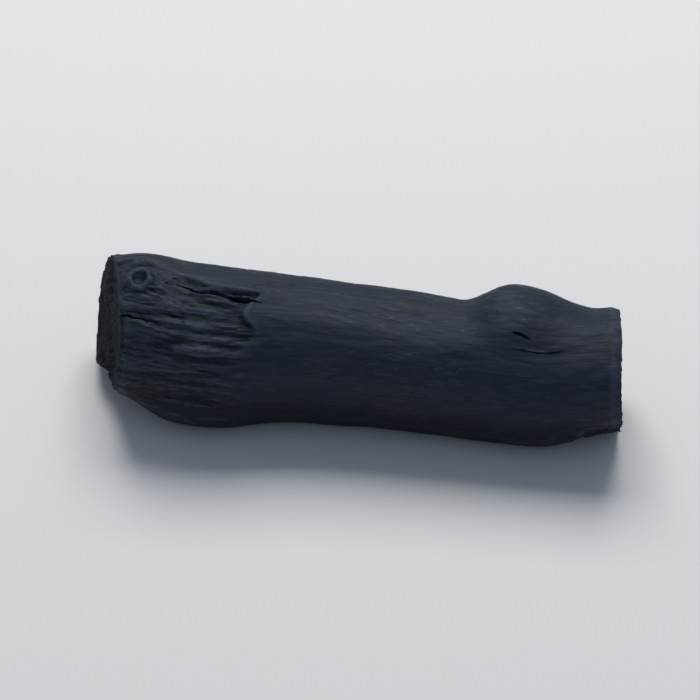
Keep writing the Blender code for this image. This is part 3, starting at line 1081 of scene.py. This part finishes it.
# %% Painted shade on the underside
UNDERSIDE_SHADE_FROM = 9.0
UNDERSIDE_SHADE_FULL = -7.0
UNDERSIDE_SHADE_SWAY = 8.0
UNDERSIDE_SHADE_LENGTH = 30.0
UNDERSIDE_SHADE_WIDTH = 9.0


def painted_underside_shade(tree):
    """Painted shade: 1 along the underside, and 0 on its upper half."""
    place = add_node(tree, ATTRIBUTE, {"attribute_name": "wood_place"})["Vector"]
    up = add_node(tree, "ShaderNodeSeparateXYZ", inputs={0: place})["Z"]
    sway = grain_noise(tree, UNDERSIDE_SHADE_LENGTH, UNDERSIDE_SHADE_WIDTH, 2.0)
    sway = add_node(tree, MATH, SUBTRACT, {0: sway, 1: 0.5})[0]
    edge = add_node(tree, MATH, MULTIPLY_ADD, {0: sway, 1: UNDERSIDE_SHADE_SWAY * MM, 2: up})[0]
    return share_between(tree, edge, (UNDERSIDE_SHADE_FROM * MM, UNDERSIDE_SHADE_FULL * MM))


print("soot is full", -UNDERSIDE_SHADE_FULL, "mm below the pith")

# %% [markdown]
# The skin is mottled in broad soft patches, with finer dark fibres and pale streaks over
# them. Each line of its table is one layer: the length and width of its patches in
# millimetres, the detail of the noise, where a patch starts and where it is full, then its
# strength and its colour.

# %% Colour of the char
SKIN_LAYERS = (
    (32.0, 20.0, 2.0, 0.35, 0.68, 1.0, SKIN_GREY),
    (11.7, 9.0, 3.0, 0.48, 0.72, 0.8, SKIN_WARM),
    (FIBRE_LENGTH, FIBRE_WIDTH, 4.0, 0.52, 0.75, 0.4, SKIN_DARK),
    (1.4 * STREAK_LENGTH, STREAK_WIDTH, 3.0, 0.55, 0.75, 0.22, WORN_GREY),
)
BARE_STREAKS = (STREAK_LENGTH, STREAK_WIDTH, 4.0, 0.35, 0.65)
ASH_DUST = (5.0, 0.9, 5.0, 0.56, 0.78)
RIDGE_LIMITS = (0.12, 0.6)
# Where the painted shade in the hollows starts and where it is full.
HOLLOW_SHADE_LIMITS = (-0.12, -0.7)
RAY_LIMITS = (0.5, 0.7)
RING_CONTRAST = 2.0


def skin_colour(tree):
    """The mottled skin, layer by layer."""
    layers = [(patches(tree, *pattern), strength, hex_colour)
              for *pattern, strength, hex_colour in SKIN_LAYERS]
    return painted(tree, linear(SKIN_BLUE), layers)


def char_colour(tree, facts):
    """Skin, bared wood and end grain, then painted shade on the underside, wear, painted shade in the
    hollows, ash and painted shade in the cracks.
    """
    ridges = share_between(tree, facts["height"], RIDGE_LIMITS)
    hollow_shade = share_between(tree, facts["height"], HOLLOW_SHADE_LIMITS)
    late = add_node(tree, MATH, POWER, {0: year_rings(tree), 1: RING_CONTRAST})[0]
    rays = share_between(tree, wood_rays(tree), RAY_LIMITS)
    streaks = patches(tree, *BARE_STREAKS)
    wood = painted(tree, linear(BARE_DARK), ((streaks, 1.0, BARE_GREY),))
    face = painted(tree, linear(EARLY_WOOD), ((late, 0.75, LATE_WOOD), (rays, 0.35, LATE_WOOD)))
    dust = patches(tree, *ASH_DUST)
    return painted(tree, skin_colour(tree), (
        (facts["bare"], 1.0, wood),
        (facts["end_grain"], 1.0, face),
        # Painted shade: the underside is darkened towards black.
        (painted_underside_shade(tree), 0.8, UNDERSIDE_SHADE_BLACK),
        (ridges, 0.35, WORN_GREY),
        # Painted shade in the hollows, found by the height attribute.
        (hollow_shade, 0.55, PAINTED_SHADE_BLACK),
        (dust, 0.12, ASH_GREY),
        # Painted shade, near black, down in the cracks.
        (facts["deep"], 1.0, PAINTED_SHADE_BLACK),
    ))


print(len(SKIN_LAYERS), "layers in the skin")

# %% [markdown]
# Relief that is finer than the net is bump: fibres on the side, hairline checks where the
# skin dried, and pores and rays on the ends. It is at most a few tenths of a millimetre.
# A hairline check follows the edges of long cells, which noise bends so that none is
# straight.

# %% Bump
HAIR_SHARE = 0.5
SKIN_BUMP = 0.6
BARE_BUMP = 0.85
CHECK_LENGTH = 24.0
CHECK_WIDTH = 5.5
CHECK_SWAY = 6.0
CHECK_GAP = 0.035
DRIED_SKIN = (30.0, 14.0, 2.0, 0.5, 0.64)
PORE = 0.55


def hairline_checks(tree):
    """1 in the middle of a hairline check, on the skin that dried most, and 0 elsewhere."""
    inputs = {"Vector": along_grain(tree, CHECK_SWAY, CHECK_SWAY), "Scale": 1.0, "Detail": 3.0}
    sway = add_node(tree, NOISE, inputs=inputs)["Color"]
    inputs = {0: sway, 1: along_grain(tree, CHECK_LENGTH, CHECK_WIDTH)}
    cells = {"Vector": add_node(tree, VECTOR_MATH, ADD, inputs)[0], "Scale": 1.0}
    edge = add_node(tree, "ShaderNodeTexVoronoi", {"feature": "DISTANCE_TO_EDGE"}, cells)["Distance"]
    check = share_between(tree, edge, (CHECK_GAP, 0.0))
    return add_node(tree, MATH, MULTIPLY, {0: check, 1: patches(tree, *DRIED_SKIN)})[0]


def char_bump(tree, facts):
    """The height of the fine relief: about 1 at the top of a fibre, and 0 at its foot."""
    fibres = grain_noise(tree, FIBRE_LENGTH, FIBRE_WIDTH, 5.0)
    hairs = grain_noise(tree, HAIR_LENGTH, HAIR_WIDTH, 3.0)
    side = add_node(tree, MATH, MULTIPLY_ADD, {0: hairs, 1: HAIR_SHARE, 2: fibres})[0]
    inputs = {0: facts["bare"], 1: BARE_BUMP, 2: SKIN_BUMP}
    strength = add_node(tree, MATH, MULTIPLY_ADD, inputs)[0]
    side = add_node(tree, MATH, MULTIPLY, {0: side, 1: strength})[0]
    side = add_node(tree, MATH, SUBTRACT, {0: side, 1: hairline_checks(tree)})[0]
    cells = {"Vector": along_grain(tree, PORE, PORE), "Scale": 1.0}
    pores = add_node(tree, "ShaderNodeTexVoronoi", inputs=cells)["Distance"]
    face = add_node(tree, MATH, ADD, {0: pores, 1: wood_rays(tree)})[0]
    inputs = {"Factor": facts["end_grain"], "A": side, "B": face}
    return add_node(tree, MIX, NUMBERS, inputs)["Result"]


print("checks are about", CHECK_LENGTH, "mm long")

# %% [markdown]
# Char is a rough, weak mirror. Its IOR is that of a hard resin, its gloss is turned down
# because its surface is full of pores, and it is no metal. Dense late wood and rubbed fibres
# are smoother, so they glint in small patches, and the end grain is the dullest of all.

# %% The whole finish
CHAR_IOR = 1.5
CHAR_GLOSS = 0.22
ROUGHNESS = 0.50
HAIR_ROUGHNESS = 0.24
GLINTS = (2.4, 0.9, 2.0, 0.62, 0.72)
GLINT_POLISH = 0.18
FACE_ROUGHNESS = 0.92
BUMP_HEIGHT = 0.16


def char_roughness(tree, facts):
    """Uneven on the side, smoother in small glints, and dull on the end grain."""
    hairs = grain_noise(tree, HAIR_LENGTH, HAIR_WIDTH, 3.0)
    rough = add_node(tree, MATH, MULTIPLY_ADD, {0: hairs, 1: HAIR_ROUGHNESS, 2: ROUGHNESS})[0]
    inputs = {0: patches(tree, *GLINTS), 1: -GLINT_POLISH, 2: rough}
    rough = add_node(tree, MATH, MULTIPLY_ADD, inputs)[0]
    inputs = {"Factor": facts["end_grain"], "A": rough, "B": FACE_ROUGHNESS}
    return add_node(tree, MIX, NUMBERS, inputs)["Result"]


def char_finish():
    """Hardwood char: satin skin, dull bared wood, black breaks, rubbed edges, a little ash."""
    finish = bpy.data.materials.new("hardwood_char")
    finish.use_nodes = True
    tree = finish.node_tree
    shader = tree.nodes["Principled BSDF"]
    shader.inputs["Metallic"].default_value = 0.0
    shader.inputs["IOR"].default_value = CHAR_IOR
    shader.inputs["Specular IOR Level"].default_value = CHAR_GLOSS
    facts = facts_in(tree)
    tree.links.new(char_colour(tree, facts), shader.inputs["Base Color"])
    tree.links.new(char_roughness(tree, facts), shader.inputs["Roughness"])
    inputs = {"Height": char_bump(tree, facts), "Distance": BUMP_HEIGHT * MM, "Strength": 1.0}
    tree.links.new(add_node(tree, "ShaderNodeBump", inputs=inputs)[0], shader.inputs["Normal"])
    return finish


char = char_finish()
print(len(char.node_tree.nodes), "nodes in the finish")

# %% [markdown]
# ## Fibres and growth rings
#
# Up close, char is still wood: fine grooves run along the fibres, deep where the wood is
# bare and faint where the skin is whole, and the skin is a little dimpled. The end faces
# show growth rings as low terraces. All of this follows the surface by a rule, so Geometry
# Nodes make it: noise that is stretched along the branch pushes the points in. The sizes
# are in millimetres.

# %% Noise and grooves
RELIEF_SIZES = {
    "Dimple length": 10.0,
    "Dimple width": 4.0,
    "Dimple depth": 0.9,
    "Groove length": 15.0,
    "Groove width": 2.1,
    "Groove depth": 0.34,
    "Fibre length": 7.0,
    "Fibre width": 0.85,
    "Fibre depth": 0.16,
    "Skin share": 0.3,
    "Ring depth": 0.34,
    "Grit size": 1.3,
    "Grit depth": 0.3,
}
NOISE_ROUGHNESS = 0.55


def stretched_noise(tree, place, length, width, detail):
    """Noise on a place in millimetres, stretched along the branch, about 0 to 1."""
    size = add_node(tree, "ShaderNodeCombineXYZ", inputs={0: length, 1: width, 2: width})[0]
    stretched = add_node(tree, VECTOR_MATH, DIVIDE, {0: place, 1: size})[0]
    inputs = {"Vector": stretched, "Scale": 1.0, "Detail": detail, "Roughness": NOISE_ROUGHNESS}
    return add_node(tree, NOISE, inputs=inputs)[0]


def groove_lines(tree, value, sharpness):
    """1 along the lines where noise crosses its middle, and 0 away from them."""
    from_middle = add_node(tree, MATH, SUBTRACT, {0: value, 1: 0.5})[0]
    away = add_node(tree, MATH, {"operation": "ABSOLUTE"}, {0: from_middle})[0]
    inputs = {"Value": away, "From Max": 1 / sharpness, "To Min": 1.0, "To Max": 0.0}
    return add_node(tree, MAP_RANGE, inputs=inputs)[0]


print(len(RELIEF_SIZES), "sizes for the relief")

# %% [markdown]
# On the side, dimples are the upper part of a broad noise, and grooves and fibres are the
# lines where a finer noise crosses its middle. Bared and torn wood has its grooves at full
# depth, and whole skin only a share of it.

# %% Relief of the side
DIMPLE_START = 0.45
GROOVE_SHARPNESS = 9.0
FIBRE_SHARPNESS = 6.0
ROUGH_GAIN = 0.7


def side_relief(tree, sizes, place, rough):
    """Depth of the dimples, grooves and fibres on the side of the branch."""
    dimples = stretched_noise(tree, place, sizes["Dimple length"], sizes["Dimple width"], 2.0)
    dimples = add_node(tree, MATH, SUBTRACT, {0: dimples, 1: DIMPLE_START})[0]
    dimples = add_node(tree, MATH, LARGER, {0: dimples, 1: 0.0})[0]
    grooves = stretched_noise(tree, place, sizes["Groove length"], sizes["Groove width"], 2.0)
    grooves = groove_lines(tree, grooves, GROOVE_SHARPNESS)
    fibres = stretched_noise(tree, place, sizes["Fibre length"], sizes["Fibre width"], 3.0)
    fibres = groove_lines(tree, fibres, FIBRE_SHARPNESS)
    share = add_node(tree, MATH, MULTIPLY_ADD, {0: rough, 1: ROUGH_GAIN, 2: sizes["Skin share"]})[0]
    fine = add_node(tree, MATH, MULTIPLY, {0: fibres, 1: sizes["Fibre depth"]})[0]
    fine = add_node(tree, MATH, MULTIPLY_ADD, {0: grooves, 1: sizes["Groove depth"], 2: fine})[0]
    fine = add_node(tree, MATH, MULTIPLY, {0: fine, 1: share})[0]
    return add_node(tree, MATH, MULTIPLY_ADD, {0: dimples, 1: sizes["Dimple depth"], 2: fine})[0]


print("grooves up to", RELIEF_SIZES["Groove depth"], "mm deep")

# %% [markdown]
# On an end face, early wood burnt away deeper than late wood, so each year ends in a low
# terrace, at the same place as the ring that the finish paints. Fine grit covers the face.

# %% Relief of the end faces
TERRACE_SHARPNESS = 3.0


def layer_of_years(tree, place):
    """The same rings as the finish paints: 0 in the early wood, and 1 at the year's end."""
    across_wood = add_node(tree, VECTOR_MATH, MULTIPLY, {0: place, 1: (0, 1, 1)})[0]
    sway = stretched_noise(tree, place, SWAY_LENGTH, SWAY_WIDTH, 1.0)
    year = share_of_year(tree, across_wood, sway)
    return add_node(tree, MATH, POWER, {0: year, 1: TERRACE_SHARPNESS})[0]


def face_relief(tree, sizes, place):
    """Depth of the grit on an end face, less the rise of the late wood."""
    grit = stretched_noise(tree, place, sizes["Grit size"], sizes["Grit size"], 4.0)
    grit = add_node(tree, MATH, MULTIPLY, {0: grit, 1: sizes["Grit depth"]})[0]
    late = layer_of_years(tree, place)
    rise = add_node(tree, MATH, MULTIPLY, {0: late, 1: sizes["Ring depth"]})[0]
    return add_node(tree, MATH, SUBTRACT, {0: grit, 1: rise})[0]


print("terraces", RELIEF_SIZES["Ring depth"], "mm high")

# %% [markdown]
# The tree reads what each point was given: its place in the wood, and whether it is bare,
# torn or end grain. It takes the depth for the side or for the end face, and presses the
# point in by that much, along its normal.

# %% Press the relief in
def relief_tree(finish):
    """Presses the relief into the surface, along its normals."""
    tree = new_tree("char_relief", RELIEF_SIZES)
    sizes = add_node(tree, "NodeGroupInput")
    place = add_node(tree, NAMED_ATTRIBUTE, VECTORS, {"Name": "wood_place"})[0]
    place = add_node(tree, VECTOR_MATH, SCALE, {0: place, "Scale": 1 / MM})[0]
    bare = add_node(tree, NAMED_ATTRIBUTE, NUMBERS, {"Name": "bare"})[0]
    torn_wood = add_node(tree, NAMED_ATTRIBUTE, NUMBERS, {"Name": "torn"})[0]
    end_grain = add_node(tree, NAMED_ATTRIBUTE, NUMBERS, {"Name": "end_grain"})[0]
    rough = add_node(tree, MATH, LARGER, {0: bare, 1: torn_wood})[0]
    side = side_relief(tree, sizes, place, rough)
    face = face_relief(tree, sizes, place)
    inputs = {"Factor": end_grain, "A": side, "B": face}
    depth = add_node(tree, MIX, NUMBERS, inputs)["Result"]
    pressed = add_node(tree, MATH, MULTIPLY, {0: depth, 1: -MM})[0]
    normal = add_node(tree, "GeometryNodeInputNormal")[0]
    offset = add_node(tree, VECTOR_MATH, SCALE, {0: normal, "Scale": pressed})[0]
    inputs = {"Geometry": sizes["Geometry"], "Offset": offset}
    moved = add_node(tree, "GeometryNodeSetPosition", inputs=inputs)[0]
    close_tree(tree, moved, finish)
    return tree


grow(branch, relief_tree(char), RELIEF_SIZES)
print("relief pressed in:", len(branch.data.vertices), "points")

# %% [markdown]
# ## Ridges and hollows
#
# Rubbing whitens ridges, and the hollows get a painted shade. To know which is which, each point is
# compared with the average of its neighbourhood: what stands above it is a ridge. The result
# is one more attribute for the material.

# %% Height above the neighbourhood
SMOOTHING_PASSES = 10
RIDGE_SCALE = 0.35


def keep_height(made):
    """Stores how far each point stands above the smoothed surface, in units of RIDGE_SCALE.
    A coarser net has longer edges, so it needs fewer passes for the same neighbourhood."""
    mesh = made.data
    places = np.empty(3 * len(mesh.vertices), dtype=np.float32)
    mesh.vertices.foreach_get("co", places)
    places = places.reshape(-1, 3).astype(float)
    edges = np.empty(2 * len(mesh.edges), dtype=np.int32)
    mesh.edges.foreach_get("vertices", edges)
    one, other = edges.reshape(-1, 2).T
    count = np.bincount(one, minlength=len(places)) + np.bincount(other, minlength=len(places))
    smooth = places.copy()
    for _ in range(round(SMOOTHING_PASSES * FINENESS**2)):
        total = smooth.copy()
        for axis in range(3):
            total[:, axis] += np.bincount(one, smooth[other, axis], len(places))
            total[:, axis] += np.bincount(other, smooth[one, axis], len(places))
        smooth = total / (count + 1)[:, None]
    normals = np.empty(3 * len(places), dtype=np.float32)
    mesh.vertex_normals.foreach_get("vector", normals)
    above = ((places - smooth) * normals.reshape(-1, 3)).sum(axis=1) / (RIDGE_SCALE * MM)
    layer = mesh.attributes.new("height", "FLOAT", "POINT")
    layer.data.foreach_set("value", np.clip(above, -1, 1).astype(np.float32))
    return above


above = keep_height(branch)
print("heights:", np.percentile(above, (1, 25, 50, 75, 99)).round(2))

# %% [markdown]
# ## Splinters
#
# Where wood is torn, stiff fibres stay behind and point along the branch. They could be
# placed by hand, but they follow a rule: they stand thick in the torn corner, and a few lie
# on the bared wood. So points are scattered with the torn and bare attributes as their
# density. None starts so near the end face that it would stand out past it. Lengths are in
# millimetres, and the density is in points on a square metre.

# %% Places for splinters
SPLINTER_SIZES = {
    "Density": 120000.0,
    "Bare share": 0.12,
    "Last place": cad_box[1][0] / MM - 3.5,
    "Length": 4.5,
    "Thickness": 0.9,
    "Lean": 0.10,
    "Stray": 0.12,
    "Sunk": 0.25,
}
SPLINTER_SEED = 5
TORN_CONTRAST = 2.0


def splinter_places(tree, sizes):
    """Points scattered where the wood is torn, and a few where it is bare."""
    torn_wood = add_node(tree, NAMED_ATTRIBUTE, NUMBERS, {"Name": "torn"})[0]
    torn_wood = add_node(tree, MATH, POWER, {0: torn_wood, 1: TORN_CONTRAST})[0]
    bare = add_node(tree, NAMED_ATTRIBUTE, NUMBERS, {"Name": "bare"})[0]
    inputs = {0: bare, 1: sizes["Bare share"], 2: torn_wood}
    share = add_node(tree, MATH, MULTIPLY_ADD, inputs)[0]
    place = add_node(tree, "GeometryNodeInputPosition")[0]
    x = add_node(tree, "ShaderNodeSeparateXYZ", inputs={0: place})["X"]
    x = add_node(tree, MATH, DIVIDE, {0: x, 1: MM})[0]
    before_end = add_node(tree, MATH, {"operation": "LESS_THAN"}, {0: x, 1: sizes["Last place"]})[0]
    share = add_node(tree, MATH, MULTIPLY, {0: share, 1: before_end})[0]
    density = add_node(tree, MATH, MULTIPLY, {0: share, 1: sizes["Density"]})[0]
    inputs = {"Mesh": sizes["Geometry"], "Density": density, "Seed": SPLINTER_SEED}
    return add_node(tree, "GeometryNodeDistributePointsOnFaces", inputs=inputs)


print("up to", SPLINTER_SIZES["Length"], "mm long, before they vary")

# %% [markdown]
# A splinter is a thin cone with a few flat sides. Noise moves its points a little, so that
# it isn't straight.

# %% One splinter
SPLINTER_SIDES = 5
SPLINTER_SEGMENTS = 4
TIP_RADIUS = 0.04
UNEVENNESS = 0.7
UNEVEN_SCALE = 700.0
HALF = (0.5, 0.5, 0.5)


def one_splinter(tree, sizes):
    """A thin five-sided cone with an uneven side."""
    length = add_node(tree, MATH, MULTIPLY, {0: sizes["Length"], 1: MM})[0]
    foot = add_node(tree, MATH, MULTIPLY, {0: sizes["Thickness"], 1: MM / 2})[0]
    inputs = {
        "Vertices": SPLINTER_SIDES,
        "Side Segments": SPLINTER_SEGMENTS,
        "Radius Top": TIP_RADIUS * MM,
        "Radius Bottom": foot,
        "Depth": length,
    }
    cone = add_node(tree, "GeometryNodeMeshCone", inputs=inputs)["Mesh"]
    uneven = add_node(tree, NOISE, inputs={"Scale": UNEVEN_SCALE})["Color"]
    uneven = add_node(tree, VECTOR_MATH, SUBTRACT, {0: uneven, 1: HALF})[0]
    offset = add_node(tree, VECTOR_MATH, SCALE, {0: uneven, "Scale": UNEVENNESS * MM})[0]
    inputs = {"Geometry": cone, "Offset": offset}
    return add_node(tree, "GeometryNodeSetPosition", inputs=inputs)[0]


print("a splinter has", SPLINTER_SIDES, "sides")

# %% [markdown]
# Each splinter points along the branch and leans a little out of the wood, with some stray
# of its own. Its foot is sunk, so that it stands in the surface, and its size varies.

# %% Plant the splinters
SMALLEST_SPLINTER = 0.35
LARGEST_SPLINTER = 1.2


def splinter_tree(finish):
    """Splinters on their places, leaning along the branch and a little outwards."""
    tree = new_tree("splinters", SPLINTER_SIZES)
    sizes = add_node(tree, "NodeGroupInput")
    places = splinter_places(tree, sizes)
    leaning = add_node(tree, VECTOR_MATH, SCALE, {0: places["Normal"], "Scale": sizes["Lean"]})[0]
    inputs = {"Min": (-1, -1, -1), "Max": (1, 1, 1), "Seed": SPLINTER_SEED}
    stray = add_node(tree, "FunctionNodeRandomValue", VECTORS, inputs)[0]
    stray = add_node(tree, VECTOR_MATH, SCALE, {0: stray, "Scale": sizes["Stray"]})[0]
    leaning = add_node(tree, VECTOR_MATH, ADD, {0: leaning, 1: stray})[0]
    along = add_node(tree, VECTOR_MATH, ADD, {0: leaning, 1: (1, 0, 0)})[0]
    turn = add_node(tree, "FunctionNodeAlignRotationToVector", {"axis": "Z"}, {"Vector": along})[0]
    sunk = add_node(tree, MATH, MULTIPLY, {0: sizes["Sunk"], 1: -MM})[0]
    offset = add_node(tree, VECTOR_MATH, SCALE, {0: places["Normal"], "Scale": sunk})[0]
    inputs = {"Geometry": places["Points"], "Offset": offset}
    points = add_node(tree, "GeometryNodeSetPosition", inputs=inputs)[0]
    inputs = {"Min": SMALLEST_SPLINTER, "Max": LARGEST_SPLINTER, "Seed": SPLINTER_SEED + 1}
    scale = add_node(tree, "FunctionNodeRandomValue", NUMBERS, inputs)["Value"]
    splinter = one_splinter(tree, sizes)
    inputs = {"Points": points, "Instance": splinter, "Rotation": turn, "Scale": scale}
    placed = add_node(tree, "GeometryNodeInstanceOnPoints", inputs=inputs)[0]
    close_tree(tree, placed, finish)
    return tree


splinters = bpy.data.objects.new("torn_splinters", branch.data.copy())
bpy.context.scene.collection.objects.link(splinters)
grow(splinters, splinter_tree(char), SPLINTER_SIZES)
print("splinters:", len(splinters.data.polygons), "faces")

# %% [markdown]
# ## Hand the pieces over to the frame
#
# The detailed branch stands for the solid node, which is hidden, and rides on the frame's one
# body with its char finish. The splinters ride with it.

# %% Replace the node
SHARP_ANGLE = 50.0

branch.data.shade_smooth()
branch.data.set_sharp_from_angle(angle=math.radians(SHARP_ANGLE))
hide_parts(LUMP)
for piece in (branch, splinters):
    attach(piece, "root")
    triangles = sum(len(face.vertices) - 2 for face in piece.data.polygons)
    print(piece.name, "has", triangles, "triangles")

# %% [markdown]
# ## Floor, light and camera
#
# The lump lies on a plain pale floor. It is a little warm, so that the cool lights leave it
# a neutral white.

# %% Floor
FLOOR_SIZE = 6.0
FLOOR_WHITE = "#f7f1e4"
FLOOR_ROUGHNESS = 0.9


def pale_floor():
    """A large plain sheet under the lump."""
    half = FLOOR_SIZE / 2
    corners = [(-half, -half, 0), (half, -half, 0), (half, half, 0), (-half, half, 0)]
    mesh = bpy.data.meshes.new("floor")
    mesh.from_pydata(corners, [], [(0, 1, 2, 3)])
    finish = bpy.data.materials.new("pale_floor")
    finish.use_nodes = True
    shader = finish.node_tree.nodes["Principled BSDF"]
    shader.inputs["Base Color"].default_value = linear(FLOOR_WHITE)
    shader.inputs["Roughness"].default_value = FLOOR_ROUGHNESS
    mesh.materials.append(finish)
    made = bpy.data.objects.new("floor", mesh)
    bpy.context.scene.collection.objects.link(made)
    return made


pale_floor()
print("a floor of", FLOOR_SIZE, "m")

# %% [markdown]
# The main light is a large, slightly cool soft box above and behind. It grazes the top of
# the branch and lets its shadow fall towards the viewer. A weak bluish fill from the front
# and above keeps the shadow side readable. Each line of the table is one lamp: its name, its
# place and the length of its side in metres, its power in watts and its colour.

# %% Lights
SOFT_BOXES = (
    ("key_above_behind", (-0.10, 0.66, 1.13), 0.9, 14.2, "#f2f6ff"),
    ("fill_front", (0.35, -0.95, 1.35), 1.2, 2.3, "#a6c8ff"),
)
LIT_PLACE = (0, 0, 0.02)
ROOM_COLOUR = "#cfdefc"
ROOM_STRENGTH = 0.25


def soft_box(name, place, size, watts, hex_colour):
    """A square area light that faces the lump."""
    light = bpy.data.lights.new(name, "AREA")
    light.size = size
    light.energy = watts
    light.color = linear(hex_colour)[:3]
    made = bpy.data.objects.new(name, light)
    made.location = place
    towards = Vector(LIT_PLACE) - Vector(place)
    made.rotation_euler = towards.to_track_quat("-Z", "Y").to_euler()
    bpy.context.scene.collection.objects.link(made)
    return made


for values in SOFT_BOXES:
    soft_box(*values)
room = bpy.data.worlds.new("pale_room")
room.use_nodes = True
room_light = room.node_tree.nodes["Background"]
room_light.inputs["Color"].default_value = linear(ROOM_COLOUR)
room_light.inputs["Strength"].default_value = ROOM_STRENGTH
bpy.context.scene.world = room
bpy.context.scene.view_settings.view_transform = "Standard"
print(len(SOFT_BOXES), "soft boxes and a pale room")

# %% [markdown]
# The camera looks down on the lump by 40 degrees and a little from the right, from about an
# arm's length. Distances are in metres, and the sensor is in millimetres.

# %% Camera
AZIMUTH = 8.5
ELEVATION = 40.0
DISTANCE = 0.70
FRAME_WIDTH = 0.196
SENSOR = 36.0


def look_from(azimuth, elevation, distance, target):
    """A camera that looks at the target from this side."""
    lens = bpy.data.cameras.new("camera")
    lens.sensor_width = SENSOR
    lens.lens = SENSOR * distance / FRAME_WIDTH
    made = bpy.data.objects.new("camera", lens)
    turn, rise = math.radians(azimuth), math.radians(elevation)
    level = math.cos(rise)
    away = Vector((math.sin(turn) * level, -math.cos(turn) * level, math.sin(rise)))
    made.location = target + away * distance
    made.rotation_euler = (-away).to_track_quat("-Z", "Y").to_euler()
    bpy.context.scene.collection.objects.link(made)
    return made


centre = (Vector(cad_box[0]) + Vector(cad_box[1])) / 2
bpy.context.scene.camera = look_from(AZIMUTH, ELEVATION, DISTANCE, centre)
print("lens:", round(bpy.context.scene.camera.data.lens), "mm")
